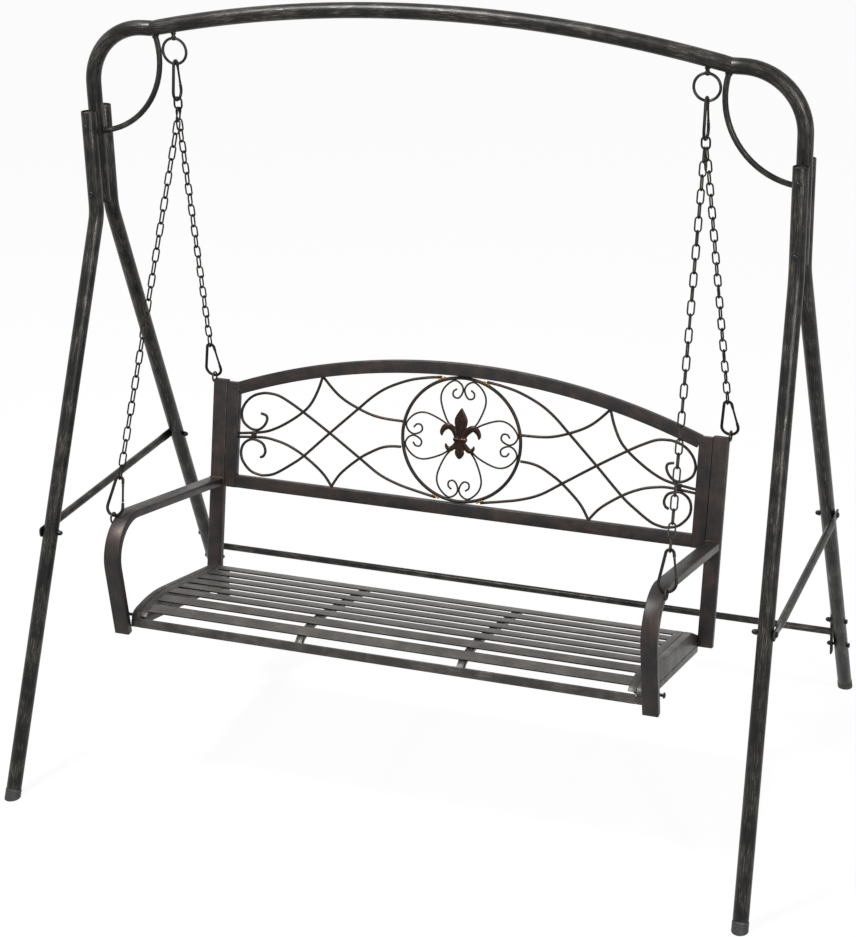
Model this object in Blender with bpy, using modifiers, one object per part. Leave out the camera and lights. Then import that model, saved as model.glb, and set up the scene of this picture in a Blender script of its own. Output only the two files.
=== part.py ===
"""Garden swing bench: a round-tube A-frame stand with a slatted steel bench hung on four chains.

Metres, +Z up, origin on the floor under the middle of the stand, +X to the right, -Y to the front.
"""
import math

import bmesh
import bpy
from mathutils import Matrix, Vector

MM = 0.001

# Fits shared by every piece
FIT_GAP = 0.3 * MM
WELD_SINK = 0.7 * MM
CUT_OVERRUN = 5 * MM
MERGE_DISTANCE = 0.02 * MM

# Stand: main tubes
TUBE_DIAMETER = 38 * MM
TUBE_RADIUS = TUBE_DIAMETER / 2
CORNER_X = 900 * MM
CORNER_BOTTOM_Z = 1407 * MM
ARCH_END_X = 727 * MM
ARCH_END_Z = 1856.5 * MM
ARCH_CENTRE_Z = 1936 * MM
CORNER_BEND_RADIUS = 148 * MM
SPIGOT_RADIUS = 15.5 * MM
SPIGOT_LENGTH = 45 * MM

# Stand: legs and their feet
LEG_TOP_Z = 1647 * MM
LEG_BEND_Z = 1383.5 * MM
LEG_BEND_RADIUS = 120 * MM
FOOT_X = 950 * MM
FOOT_Y = 620.5 * MM
FOOT_CAP_LENGTH = 24 * MM
FOOT_CAP_WALL = 1.2 * MM
FOOT_CAP_EDGE = 3 * MM
LEG_OFFSET_Y = TUBE_DIAMETER + FIT_GAP

# Stand: corner braces and hanger rings
BRACE_DIAMETER = 14 * MM
BRACE_RADIUS = 197 * MM
BRACE_CENTRE_X = 909 * MM
BRACE_CENTRE_Z = 1786 * MM
RING_CENTRE_X = 669.7 * MM
RING_CENTRE_Z = 1804 * MM
RING_RADIUS = 35 * MM
RING_WIRE = 7 * MM
RING_NECK = 10 * MM

# Stand: side bars and rear crossbar
SIDE_BAR_Z = 632 * MM
SIDE_BAR_DIAMETER = 20 * MM
BAR_FLAT_LENGTH = 58 * MM
BAR_FLAT_HEIGHT = 26 * MM
BAR_FLAT_THICKNESS = 5 * MM
BAR_FLAT_PAST_BOLT = 16 * MM
BAR_FLAT_CLEARANCE = 0.8 * MM
CROSSBAR_Z = 207 * MM
CROSSBAR_DIAMETER = 19 * MM
CROSSBAR_PLATE_LENGTH = 130 * MM
CROSSBAR_PLATE_WIDTH = 25 * MM
CROSSBAR_PLATE_THICKNESS = 4 * MM
CROSSBAR_BOLT_SPACING = 97 * MM

# Bolts with a low head and a dome nut
BOLT_RADIUS = 4 * MM
BOLT_CLEARANCE = 0.4 * MM
BOLT_HEAD_RADIUS = 8 * MM
BOLT_HEAD_HEIGHT = 5 * MM
NUT_RADIUS = 7.5 * MM
NUT_HEIGHT = 7 * MM
NUT_DOME = 6 * MM
CORNER_BOLT_HEIGHTS = (1610 * MM, 1440 * MM)
FRONT_BOLT_INSET = 26 * MM
FRONT_BOLT_DROP = 24 * MM

# Bench: its own frame lies back by the tilt, with z = 0 at the foot of the posts
BENCH_TILT = 12.5
BENCH_FOOT_Y = 48.7 * MM
BENCH_FOOT_Z = 359 * MM

# Bench: posts and armrests in 40 x 20 mm tube
FLAT_TUBE_WIDTH = 40 * MM
FLAT_TUBE_THICKNESS = 20 * MM
POST_HEIGHT = 541 * MM
POST_OUTER_X = 705.5 * MM
POST_INNER_X = POST_OUTER_X - FLAT_TUBE_WIDTH
ARM_TOP_Z = 275 * MM
ARM_BEND_SETBACK = 27.1 * MM
ARM_BEND_RADIUS = 95 * MM
ARM_LEAN_BACK = 20
ARM_BOTTOM_Z = -37 * MM

# Bench: seat side rails with a rolled-over front
RAIL_THICKNESS = 20 * MM
RAIL_OUTER_X = POST_INNER_X - FIT_GAP
RAIL_INNER_X = RAIL_OUTER_X - RAIL_THICKNESS
SEAT_TOP_Z = 50 * MM
RAIL_BOTTOM_Z = -20 * MM
SEAT_FLAT_REACH = 340 * MM
SEAT_CROWN_RADIUS = 420 * MM
SEAT_CROWN_REACH = 148 * MM
SEAT_NOSE_RADIUS = 28 * MM
RAIL_SEAM_DEPTH = 1 * MM
RAIL_SEAM_HEIGHT = 2 * MM

# Bench: seat slats and the two bars under them
SLAT_COUNT = 8
SLAT_WIDTH = 37 * MM
SLAT_THICKNESS = 8 * MM
SLAT_FIRST_INSET = 77.5 * MM
SLAT_LAST_INSET = 62.7 * MM
FRONT_SLAT_HEIGHT = 24 * MM
SUPPORT_X = 210 * MM
SUPPORT_WIDTH = 20 * MM
SUPPORT_THICKNESS = 12 * MM

# Bench: back frame
BACK_OUTER_X = POST_INNER_X - FIT_GAP
STILE_WIDTH = 35.2 * MM
OPENING_HALF_WIDTH = BACK_OUTER_X - STILE_WIDTH
BACK_RAIL_HEIGHT = 33.8 * MM
BACK_TOP_Z = 654 * MM
BACK_ARC_RADIUS = 1818 * MM
OPENING_BOTTOM_Z = 286.3 * MM
BACK_DEPTH = 20 * MM
OPENING_TOP_Z = BACK_TOP_Z - BACK_RAIL_HEIGHT
OPENING_HEIGHT = OPENING_TOP_Z - OPENING_BOTTOM_Z

# Bench: medallion, scrolls and lattice wires
MEDALLION_Z = OPENING_BOTTOM_Z + OPENING_HEIGHT / 2
MEDALLION_RADIUS = OPENING_HEIGHT / 2 - FIT_GAP
MEDALLION_WIRE = 9 * MM
SCROLL_WIRE = 5 * MM
LATTICE_WIRE = 7.4 * MM
LATTICE_STAGGER = 1 * MM
SCROLL_STAGGER = 0.4 * MM
WIRE_END_X = 62 * MM
FLEUR_THICKNESS = 9 * MM
HUB_RADIUS = 9 * MM

# Chains, hooks and eyes
LINK_WIRE = 4.5 * MM
LINK_WIDTH = 20 * MM
LINK_PITCH = 31 * MM
LINK_SINK = 0.4 * MM
APEX_WIRE = 5 * MM
APEX_WIDTH = 25 * MM
APEX_LENGTH = 35 * MM
CHAIN_SIDE_STEP = 2.6 * MM
HOOK_WIRE = 8 * MM
HOOK_SPAN = 97 * MM
HOOK_WIDE_RADIUS = 21 * MM
HOOK_NARROW_RADIUS = 10 * MM
GATE_DIAMETER = 6 * MM
EYE_WIRE = 5 * MM
EYE_INNER_RADIUS = 10 * MM
ARM_EYE_ANGLE = 58
POST_EYE_RISE = 4 * MM

# Where the gate sits on the hook's straight side, as shares of that side from the wide end
GATE_LOW_SHARE = 0.16
GATE_HIGH_SHARE = 0.86

# How much of a link's width stays flat at its ends
LINK_END_SHARE = 0.62

# Lattice wires: (share of the opening's half width, share of the opening's height there)
UPPER_SCROLL_SHARES = (
    (0.902, 0.723), (0.878, 0.690), (0.873, 0.641), (0.886, 0.578), (0.912, 0.540), (0.945, 0.559),
    (0.978, 0.639), (0.990, 0.724), (0.989, 0.806), (0.972, 0.888), (0.940, 0.940), (0.900, 0.946),
    (0.866, 0.927), (0.825, 0.885), (0.778, 0.809), (0.709, 0.689), (0.584, 0.484), (0.444, 0.276),
    (0.353, 0.155), (0.269, 0.092), (0.185, 0.055))
LOWER_SCROLL_SHARES = (
    (0.896, 0.229), (0.881, 0.248), (0.874, 0.304), (0.887, 0.380), (0.919, 0.426), (0.946, 0.433),
    (0.974, 0.389), (0.986, 0.300), (0.978, 0.185), (0.942, 0.072), (0.898, 0.033), (0.865, 0.035),
    (0.822, 0.068), (0.756, 0.166), (0.697, 0.264), (0.584, 0.484), (0.466, 0.690), (0.395, 0.807),
    (0.329, 0.882), (0.241, 0.940), (0.165, 0.966))
UPPER_BRANCH_SHARES = (
    (0.622, 1.035), (0.644, 0.890), (0.674, 0.764), (0.709, 0.689), (0.763, 0.613), (0.828, 0.544),
    (0.892, 0.511), (1.01, 0.521))
LOWER_BRANCH_SHARES = (
    (0.556, -0.022), (0.610, 0.118), (0.697, 0.264), (0.771, 0.361), (0.832, 0.416), (0.892, 0.451),
    (1.01, 0.475))
UPPER_LINK_SHARES = (
    (0.640, 1.044), (0.573, 0.869), (0.525, 0.780), (0.466, 0.708), (0.401, 0.650), (0.338, 0.621),
    (0.24, 0.604))
LOWER_LINK_SHARES = (
    (0.572, -0.022), (0.525, 0.131), (0.444, 0.276), (0.390, 0.341), (0.346, 0.381), (0.302, 0.398),
    (0.24, 0.400))
COLLAR_SHARES = (0.930, 0.489)
COLLAR_LENGTH = 12 * MM
COLLAR_HEIGHT = 17 * MM
COLLAR_DEPTH = 11 * MM

# One medallion scroll: (sideways, along the pair's axis), as shares of the ring's inner radius
HEART_SCROLL_SHARES = (
    (0.0, 0.016), (0.144, 0.158), (0.280, 0.335), (0.388, 0.630), (0.345, 0.830), (0.186, 0.970),
    (0.065, 0.935), (0.012, 0.840), (0.045, 0.735), (0.103, 0.689), (0.175, 0.715), (0.180, 0.790),
    (0.122, 0.840))

# Right half of the fleur-de-lis outline, as shares of the medallion's radius, from the tip down
FLEUR_HALF_SHARES = (
    (0.0, 0.520), (0.045, 0.450), (0.095, 0.385), (0.118, 0.310), (0.105, 0.235), (0.088, 0.195),
    (0.135, 0.232), (0.205, 0.250), (0.275, 0.225), (0.330, 0.150), (0.335, 0.075), (0.300, 0.045),
    (0.285, 0.100), (0.240, 0.165), (0.190, 0.170), (0.140, 0.120), (0.085, 0.045), (0.110, 0.040),
    (0.110, -0.010), (0.085, -0.018), (0.130, -0.090), (0.185, -0.120), (0.215, -0.090),
    (0.240, -0.055), (0.250, -0.120), (0.205, -0.180), (0.140, -0.190), (0.080, -0.140),
    (0.085, -0.215), (0.040, -0.290), (0.0, -0.300))

# Steps of the small round wires, and the angle of one step on the larger ones
HOOK_STEPS = 6
EYE_STEPS = 16
RING_STEPS = 20
MEDALLION_STEPS = 28
ARC_STEP = 15
SIDES = (("L", -1), ("R", 1))
ENDS = (("front", -1), ("rear", 1))


def clear_scene():
    """Remove the objects that the new scene starts with."""
    for item in list(bpy.data.objects):
        bpy.data.objects.remove(item, do_unlink=True)


def new_collection(name):
    """Add a collection to the scene."""
    collection = bpy.data.collections.new(name)
    bpy.context.scene.collection.children.link(collection)
    return collection


def new_material(name, colour, roughness, metallic):
    """One plain Principled material."""
    material = bpy.data.materials.new(name)
    material.use_nodes = True
    shader = material.node_tree.nodes["Principled BSDF"]
    shader.inputs["Base Color"].default_value = (*colour, 1)
    shader.inputs["Roughness"].default_value = roughness
    shader.inputs["Metallic"].default_value = metallic
    material.diffuse_color = (*colour, 1)
    return material


clear_scene()
PARTS = new_collection("garden_swing_bench")
CUTTERS = new_collection("cutters")

STAND_COAT = new_material("stand_black_coat", (0.030, 0.031, 0.030), 0.42, 0.75)
BENCH_COAT = new_material("bench_bronze_coat", (0.045, 0.036, 0.030), 0.45, 0.75)
SEAT_COAT = new_material("seat_grey_coat", (0.075, 0.072, 0.070), 0.42, 0.8)
WIRE_COAT = new_material("wire_black_coat", (0.028, 0.026, 0.024), 0.48, 0.7)
CAST_BRONZE = new_material("cast_bronze", (0.070, 0.042, 0.028), 0.5, 0.85)
CHAIN_STEEL = new_material("chain_steel", (0.050, 0.048, 0.045), 0.4, 0.9)
BOLT_STEEL = new_material("bolt_black", (0.016, 0.016, 0.016), 0.4, 0.8)
FOOT_PLASTIC = new_material("foot_plastic", (0.012, 0.012, 0.012), 0.6, 0.0)


def new_empty(name, location, parent=None):
    """An empty that carries a group of parts."""
    empty = bpy.data.objects.new(name, None)
    empty.location = location
    empty.parent = parent
    PARTS.objects.link(empty)
    return empty


def new_object(name, data, material, parent=None):
    """Put a mesh or a curve in the parts collection."""
    item = bpy.data.objects.new(name, data)
    if material is not None:
        data.materials.append(material)
    item.parent = parent
    PARTS.objects.link(item)
    return item


def make_cutter(item):
    """Move an object to the cutters, out of the model."""
    PARTS.objects.unlink(item)
    CUTTERS.objects.link(item)
    item.display_type = "WIRE"
    item.hide_render = True
    return item


def boolean(target, tool, operation):
    """Join or cut a mesh with another one."""
    make_cutter(tool)
    modifier = target.modifiers.new(operation.lower(), "BOOLEAN")
    modifier.operation = operation
    modifier.solver = "EXACT"
    modifier.object = tool


def smooth_round(mesh):
    """Shade a round piece smooth but keep its edges."""
    mesh.shade_smooth()
    mesh.set_sharp_from_angle(angle=math.radians(50))


def mesh_from_curve(item):
    """Turn a curve object into a mesh object with welded caps, in the same place."""
    bpy.context.view_layer.update()
    evaluated = item.evaluated_get(bpy.context.evaluated_depsgraph_get())
    mesh = bpy.data.meshes.new_from_object(evaluated)
    weld = bmesh.new()
    weld.from_mesh(mesh)
    bmesh.ops.remove_doubles(weld, verts=weld.verts, dist=MERGE_DISTANCE)
    weld.to_mesh(mesh)
    weld.free()
    name = item.name
    parent = item.parent
    local = item.matrix_local.copy()
    bpy.data.objects.remove(item, do_unlink=True)
    solid = new_object(name, mesh, None, parent)
    solid.matrix_local = local
    return solid


def add_spline(curve, points, cyclic):
    """One straight-sided run of points."""
    spline = curve.splines.new("POLY")
    spline.points.add(len(points) - 1)
    for point, place in zip(spline.points, points):
        point.co = (*place, 1)
    spline.use_cyclic_u = cyclic


def wire(name, runs, diameter, material, parent=None, cyclic=False, roundness=1):
    """Round wire or tube along one or more runs of points."""
    curve = bpy.data.curves.new(name, "CURVE")
    curve.dimensions = "3D"
    curve.bevel_depth = diameter / 2
    curve.bevel_resolution = roundness
    curve.use_fill_caps = True
    for run in runs:
        add_spline(curve, run, cyclic)
    return new_object(name, curve, material, parent)


def solid_wire(name, runs, diameter, material, parent=None, cyclic=False, roundness=1):
    """A wire that is joined or cut later, so a mesh with closed ends."""
    solid = mesh_from_curve(wire(name, runs, diameter, material, parent, cyclic, roundness))
    smooth_round(solid.data)
    return solid


def plate(name, outlines, thickness, material, parent=None):
    """Flat outline in the local XY plane with a thickness along local Z."""
    curve = bpy.data.curves.new(name, "CURVE")
    curve.dimensions = "2D"
    curve.fill_mode = "BOTH"
    curve.extrude = thickness / 2
    for outline in outlines:
        add_spline(curve, [(x, y, 0) for x, y in outline], True)
    return new_object(name, curve, material, parent)


def solid_plate(name, outlines, thickness, material, parent=None):
    """A flat outline as a mesh with welded edges."""
    return mesh_from_curve(plate(name, outlines, thickness, material, parent))


def stand_up(item):
    """Turn a local XY outline so that it lies in the world XZ plane."""
    item.rotation_euler = (math.radians(90), 0, 0)


def stand_along(item):
    """Turn a local XY outline so that it lies in the YZ plane."""
    item.rotation_euler = (math.radians(90), 0, math.radians(90))


def box(name, size, place, material, parent=None):
    """A box around its own middle."""
    cube = bmesh.new()
    bmesh.ops.create_cube(cube, size=1, matrix=Matrix.Diagonal((*size, 1)))
    mesh = bpy.data.meshes.new(name)
    cube.to_mesh(mesh)
    cube.free()
    item = new_object(name, mesh, material, parent)
    item.location = place
    return item


def turned(name, profile, steps, material, parent=None):
    """A shape turned about its local Z axis from a profile at +X, top to bottom."""
    mesh = bpy.data.meshes.new(name)
    points = [(radius, 0, height) for radius, height in profile]
    edges = [(index, index + 1) for index in range(len(points) - 1)]
    mesh.from_pydata(points, edges, [])
    item = new_object(name, mesh, material, parent)
    screw = item.modifiers.new("turn", "SCREW")
    screw.steps = steps
    screw.render_steps = steps
    screw.use_merge_vertices = True
    screw.merge_threshold = MERGE_DISTANCE
    screw.use_smooth_shade = True
    return item


def aim(item, start, direction, side=Vector((1, 0, 0))):
    """Place an object with its local Z along a direction and its local X near the given side."""
    item.matrix_local = frame_at(start, direction, side)


def frame_at(start, direction, side):
    """A right-handed frame with Z along the direction."""
    along = Vector(direction).normalized()
    across = (Vector(side) - along * Vector(side).dot(along)).normalized()
    up = along.cross(across)
    rows = Matrix((across, up, along)).transposed().to_4x4()
    return Matrix.Translation(start) @ rows


def arc(centre, radius, start, end, steps=None):
    """Points on an arc in a plane, angles in degrees."""
    steps = steps or max(2, round(abs(end - start) / ARC_STEP))
    angles = [math.radians(start + (end - start) * step / steps) for step in range(steps + 1)]
    return [(centre[0] + radius * math.cos(a), centre[1] + radius * math.sin(a)) for a in angles]


def circle(centre, radius, steps):
    """Points round a full circle in a plane."""
    return arc(centre, radius, 0, 360, steps)[:-1]


def rounded_path(corners, radius):
    """A path through corners, each inner one replaced by an arc."""
    corners = [Vector(corner) for corner in corners]
    path = [corners[0]]
    for before, corner, after in zip(corners, corners[1:], corners[2:]):
        back = (before - corner).normalized()
        ahead = (after - corner).normalized()
        half = back.angle(ahead) / 2
        setback = radius / math.tan(half)
        centre = corner + (back + ahead).normalized() * radius / math.sin(half)
        first = corner + back * setback - centre
        last = corner + ahead * setback - centre
        turn = first.angle(last)
        steps = max(2, round(math.degrees(turn) / ARC_STEP))
        for step in range(steps + 1):
            share = step / steps
            mixed = first * math.sin((1 - share) * turn) + last * math.sin(share * turn)
            path.append(centre + mixed / math.sin(turn))
    path.append(corners[-1])
    return path


def band_outline(path, thickness):
    """Outline of a flat band: a path in a plane offset to both sides."""
    path = [Vector(point) for point in path]
    left = []
    right = []
    for index, point in enumerate(path):
        before = path[max(index - 1, 0)]
        after = path[min(index + 1, len(path) - 1)]
        ahead = (after - before).normalized()
        normal = Vector((-ahead.y, ahead.x)) * thickness / 2
        left.append(point + normal)
        right.append(point - normal)
    return [tuple(point) for point in left + right[::-1]]


def drill(target, start, direction, length, radius):
    """Cut a round hole."""
    hole = bmesh.new()
    bmesh.ops.create_cone(hole, cap_ends=True, segments=8, radius1=radius, radius2=radius, depth=length)
    mesh = bpy.data.meshes.new("hole")
    hole.to_mesh(mesh)
    hole.free()
    tool = new_object(target.name + "_hole", mesh, None, target.parent)
    aim(tool, Vector(start) + Vector(direction).normalized() * length / 2, direction, hole_side(direction))
    boolean(target, tool, "DIFFERENCE")


def hole_side(direction):
    """A direction square to a bolt, shared by the bolt and its holes."""
    if abs(Vector(direction).normalized().x) > math.sqrt(1 / 2):
        return Vector((0, 0, 1))
    return Vector((1, 0, 0))


def bolt(name, start, direction, grip, parent=None):
    """A bolt with its head at the start and a dome nut past the grip, turned in one piece."""
    shank = BOLT_RADIUS
    end = grip + FIT_GAP
    profile = [
        (0, end + NUT_HEIGHT + NUT_DOME),
        (NUT_RADIUS * math.sqrt(1 / 2), end + NUT_HEIGHT + NUT_DOME * math.sqrt(1 / 2)),
        (NUT_RADIUS, end + NUT_HEIGHT),
        (NUT_RADIUS, end),
        (shank, end),
        (shank, -FIT_GAP),
        (BOLT_HEAD_RADIUS, -FIT_GAP),
        (BOLT_HEAD_RADIUS * math.sqrt(1 / 2), -BOLT_HEAD_HEIGHT),
        (0, -BOLT_HEAD_HEIGHT),
    ]
    item = turned(name, profile, 8, BOLT_STEEL, parent)
    aim(item, start, direction, hole_side(direction))
    return item


def leg_axis(side, end):
    """Corner points of a leg's centre line, from the top to the floor."""
    top = Vector((side * CORNER_X, end * LEG_OFFSET_Y, LEG_TOP_Z))
    bend = Vector((side * CORNER_X, end * LEG_OFFSET_Y, LEG_BEND_Z))
    foot = Vector((side * FOOT_X, end * FOOT_Y, 0))
    return top, bend, foot


def leg_point(side, end, height):
    """The point of a leg's centre line at a height below its bend."""
    _, bend, foot = leg_axis(side, end)
    return foot.lerp(bend, height / LEG_BEND_Z)


def arch_radius():
    """Radius of the top tube through its two ends and its middle."""
    rise = ARCH_CENTRE_Z - ARCH_END_Z
    return (ARCH_END_X ** 2 + rise ** 2) / (2 * rise)


def arch_path():
    """Centre line of the top tube, a little past both ends."""
    radius = arch_radius()
    centre = ARCH_CENTRE_Z - radius
    half = math.asin((ARCH_END_X + TUBE_RADIUS) / radius)
    steps = 16
    bow = [half * (1 - 2 * step / steps) for step in range(steps + 1)]
    return [(radius * math.sin(angle), 0, centre + radius * math.cos(angle)) for angle in bow]


def corner_path(side):
    """Centre line of a corner tube, from the arch down."""
    start = Vector((side * (ARCH_END_X + FIT_GAP), 0, ARCH_END_Z))
    corner = Vector((side * CORNER_X, 0, ARCH_END_Z))
    bottom = Vector((side * CORNER_X, 0, CORNER_BOTTOM_Z))
    return rounded_path((start, corner, bottom), CORNER_BEND_RADIUS)


def cope(item, path):
    """Cut a piece to sit on a main tube, clear of it by the fit gap."""
    tool = solid_wire("cope", [path], TUBE_DIAMETER + FIT_GAP * 2, None, roundness=4)
    boolean(item, tool, "DIFFERENCE")


def make_top_arch():
    """The bowed top tube with a spigot at each end for the corner tubes."""
    tube = solid_wire("top_arch_tube", [arch_path()], TUBE_DIAMETER, STAND_COAT, roundness=4)
    size = (ARCH_END_X * 2, TUBE_DIAMETER * 2, ARCH_CENTRE_Z * 2)
    boolean(tube, box("arch_ends", size, (0, 0, ARCH_CENTRE_Z), None), "INTERSECT")
    for side in (-1, 1):
        end = Vector((side * ARCH_END_X, 0, ARCH_END_Z))
        along = Vector((side, 0, 0))
        run = [end - along * SPIGOT_LENGTH / 2, end + along * SPIGOT_LENGTH / 2]
        spigot = solid_wire("spigot", [run], SPIGOT_RADIUS * 2, None, roundness=3)
        boolean(tube, spigot, "UNION")


def make_corner_tube(label, side):
    """The bent tube from the arch down into the middle of the two legs."""
    path = corner_path(side)
    tube = solid_wire("corner_tube_" + label, [path], TUBE_DIAMETER, STAND_COAT, roundness=4)
    outward = Vector((side, 0, 0))
    bore = [path[0] - outward * CUT_OVERRUN, path[0] + outward * (SPIGOT_LENGTH / 2 + BOLT_CLEARANCE)]
    tool = solid_wire("bore", [bore], (SPIGOT_RADIUS + BOLT_CLEARANCE) * 2, None, roundness=3)
    boolean(tube, tool, "DIFFERENCE")
    for height in CORNER_BOLT_HEIGHTS:
        place = (side * CORNER_X, -TUBE_DIAMETER, height)
        drill(tube, place, (0, 1, 0), TUBE_DIAMETER * 2, BOLT_RADIUS + BOLT_CLEARANCE)


def make_leg(label, side, end_label, end):
    """One A-frame leg: upright beside the corner tube, then splayed to the floor."""
    top, bend, foot = leg_axis(side, end)
    stop = foot + (bend - foot).normalized() * FOOT_CAP_LENGTH
    path = rounded_path((top, bend, stop), LEG_BEND_RADIUS)
    name = "leg_" + end_label + "_" + label
    leg = solid_wire(name, [path], TUBE_DIAMETER, STAND_COAT, roundness=4)
    for height in CORNER_BOLT_HEIGHTS:
        place = (side * CORNER_X, end * LEG_OFFSET_Y - TUBE_DIAMETER, height)
        drill(leg, place, (0, 1, 0), TUBE_DIAMETER * 2, BOLT_RADIUS + BOLT_CLEARANCE)
    middle = leg_point(side, end, SIDE_BAR_Z)
    start = middle - Vector((side * TUBE_DIAMETER, 0, 0))
    drill(leg, start, (side, 0, 0), TUBE_DIAMETER * 2, BOLT_RADIUS + BOLT_CLEARANCE)
    if end > 0:
        for place in crossbar_bolt_places(side):
            start = place - Vector((side * TUBE_DIAMETER, 0, 0))
            drill(leg, start, (side, 0, 0), TUBE_DIAMETER * 2, BOLT_RADIUS + BOLT_CLEARANCE)


def make_foot_cap(label, side, end_label, end):
    """A plastic plug under a leg, cut level with the floor."""
    _, bend, foot = leg_axis(side, end)
    up = (bend - foot).normalized()
    radius = TUBE_RADIUS + FOOT_CAP_WALL
    bottom = -TUBE_DIAMETER
    profile = [
        (0, FOOT_CAP_LENGTH - FIT_GAP),
        (radius - FOOT_CAP_EDGE, FOOT_CAP_LENGTH - FIT_GAP),
        (radius, FOOT_CAP_LENGTH - FOOT_CAP_EDGE),
        (radius, bottom),
        (0, bottom),
    ]
    cap = turned("foot_cap_" + end_label + "_" + label, profile, 12, FOOT_PLASTIC)
    aim(cap, foot, up)
    size = (TUBE_DIAMETER * 4, TUBE_DIAMETER * 4, TUBE_DIAMETER * 4)
    floor = box("floor_cut", size, foot - Vector((0, 0, TUBE_DIAMETER * 2)), None)
    boolean(cap, floor, "DIFFERENCE")


def make_brace(label, side):
    """The round bar that bows between the arch and the corner tube, coped to both."""
    upper = math.degrees(math.asin((ARCH_END_Z - BRACE_CENTRE_Z) / BRACE_RADIUS))
    lower = math.degrees(math.acos((BRACE_CENTRE_X - CORNER_X) / BRACE_RADIUS))
    bow = arc((BRACE_CENTRE_X, BRACE_CENTRE_Z), BRACE_RADIUS, 180 - upper, 180 + lower)
    path = [(side * x, 0, z) for x, z in bow]
    brace = solid_wire("corner_brace_" + label, [path], BRACE_DIAMETER, STAND_COAT, roundness=2)
    cope(brace, arch_path())
    cope(brace, corner_path(side))


def make_hanger_ring(label, side):
    """The ring under the arch, on a short neck."""
    loop_radius = RING_RADIUS - RING_WIRE / 2
    loop = circle((side * RING_CENTRE_X, RING_CENTRE_Z), loop_radius, RING_STEPS)
    ring = solid_wire(
        "hanger_ring_" + label, [[(x, 0, z) for x, z in loop]], RING_WIRE, STAND_COAT, cyclic=True)
    neck = [(side * RING_CENTRE_X, 0, z) for z in (ARCH_END_Z, RING_CENTRE_Z + loop_radius)]
    boolean(ring, solid_wire("neck", [neck], RING_NECK, None, roundness=2), "UNION")
    cope(ring, arch_path())


def side_bar_x():
    """Middle plane of a side bar, just outside its two legs."""
    leg = leg_point(1, 1, SIDE_BAR_Z)
    return leg.x + TUBE_RADIUS + BAR_FLAT_CLEARANCE + BAR_FLAT_THICKNESS / 2


def make_side_bar(label, side):
    """The round bar between a front and a rear leg, hammered flat at both ends."""
    leg = leg_point(side, 1, SIDE_BAR_Z)
    far = leg.y + BAR_FLAT_PAST_BOLT
    near = far - BAR_FLAT_LENGTH
    place = Vector((side * side_bar_x(), 0, SIDE_BAR_Z))
    run = [place + Vector((0, -near - BOLT_RADIUS, 0)), place + Vector((0, near + BOLT_RADIUS, 0))]
    bar = solid_wire("side_bar_" + label, [run], SIDE_BAR_DIAMETER, STAND_COAT, roundness=3)
    for end in (-1, 1):
        size = (BAR_FLAT_THICKNESS, far - near, BAR_FLAT_HEIGHT)
        middle = place + Vector((0, end * (far + near) / 2, 0))
        flat = box("flat_end", size, middle, None)
        boolean(bar, flat, "UNION")
        start = place + Vector((-side * TUBE_RADIUS, end * leg.y, 0))
        drill(bar, start, (side, 0, 0), TUBE_DIAMETER, BOLT_RADIUS + BOLT_CLEARANCE)


def crossbar_axis(side):
    """Direction of a rear leg, which the crossbar's end plate follows."""
    _, bend, foot = leg_axis(side, 1)
    return (bend - foot).normalized()


def crossbar_bolt_places(side):
    """The two bolt points on a rear leg's centre line."""
    middle = leg_point(side, 1, CROSSBAR_Z)
    step = crossbar_axis(side) * CROSSBAR_BOLT_SPACING / 2
    return (middle + step, middle - step)


def make_rear_crossbar():
    """The low bar between the rear legs, with its bolted end plates."""
    leg = leg_point(1, 1, CROSSBAR_Z)
    inner = leg.x - TUBE_RADIUS - FIT_GAP * 4
    plate_x = inner - CROSSBAR_PLATE_THICKNESS / 2
    run = [(-plate_x, leg.y, CROSSBAR_Z), (plate_x, leg.y, CROSSBAR_Z)]
    bar = solid_wire("rear_crossbar", [run], CROSSBAR_DIAMETER, STAND_COAT, roundness=3)
    size = (CROSSBAR_PLATE_THICKNESS, CROSSBAR_PLATE_WIDTH, CROSSBAR_PLATE_LENGTH)
    for side in (-1, 1):
        flat = box("end_plate", size, (0, 0, 0), None)
        aim(flat, (side * plate_x, leg.y, CROSSBAR_Z), crossbar_axis(side))
        boolean(bar, flat, "UNION")
        for place in crossbar_bolt_places(side):
            start = place + Vector((side * (TUBE_RADIUS + FIT_GAP * 2), 0, 0))
            grip = abs(start.x) - plate_x + CROSSBAR_PLATE_THICKNESS / 4
            fixing = bolt("crossbar_bolt", start, (-side, 0, 0), grip)
            boolean(bar, fixing, "UNION")


def make_corner_bolts(label, side):
    """Two long bolts through the front leg, the corner tube and the rear leg."""
    half = LEG_OFFSET_Y + TUBE_RADIUS
    for index, height in enumerate(CORNER_BOLT_HEIGHTS):
        name = "corner_bolt_" + ("upper_", "lower_")[index] + label
        bolt(name, (side * CORNER_X, -half, height), (0, 1, 0), half * 2)


def make_side_bolt(label, side, end_label, end):
    """The bolt through a side bar's flat end and its leg."""
    leg = leg_point(side, end, SIDE_BAR_Z)
    outer = side_bar_x() + BAR_FLAT_THICKNESS / 2
    grip = outer - (leg.x * side - TUBE_RADIUS) + BAR_FLAT_CLEARANCE
    name = "side_bar_bolt_" + end_label + "_" + label
    bolt(name, (side * outer, leg.y, leg.z), (-side, 0, 0), grip)


def make_stand():
    """Everything that stands still."""
    make_top_arch()
    make_rear_crossbar()
    for label, side in SIDES:
        make_corner_tube(label, side)
        make_brace(label, side)
        make_hanger_ring(label, side)
        make_side_bar(label, side)
        make_corner_bolts(label, side)
        for end_label, end in ENDS:
            make_leg(label, side, end_label, end)
            make_foot_cap(label, side, end_label, end)
            make_side_bolt(label, side, end_label, end)


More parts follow.
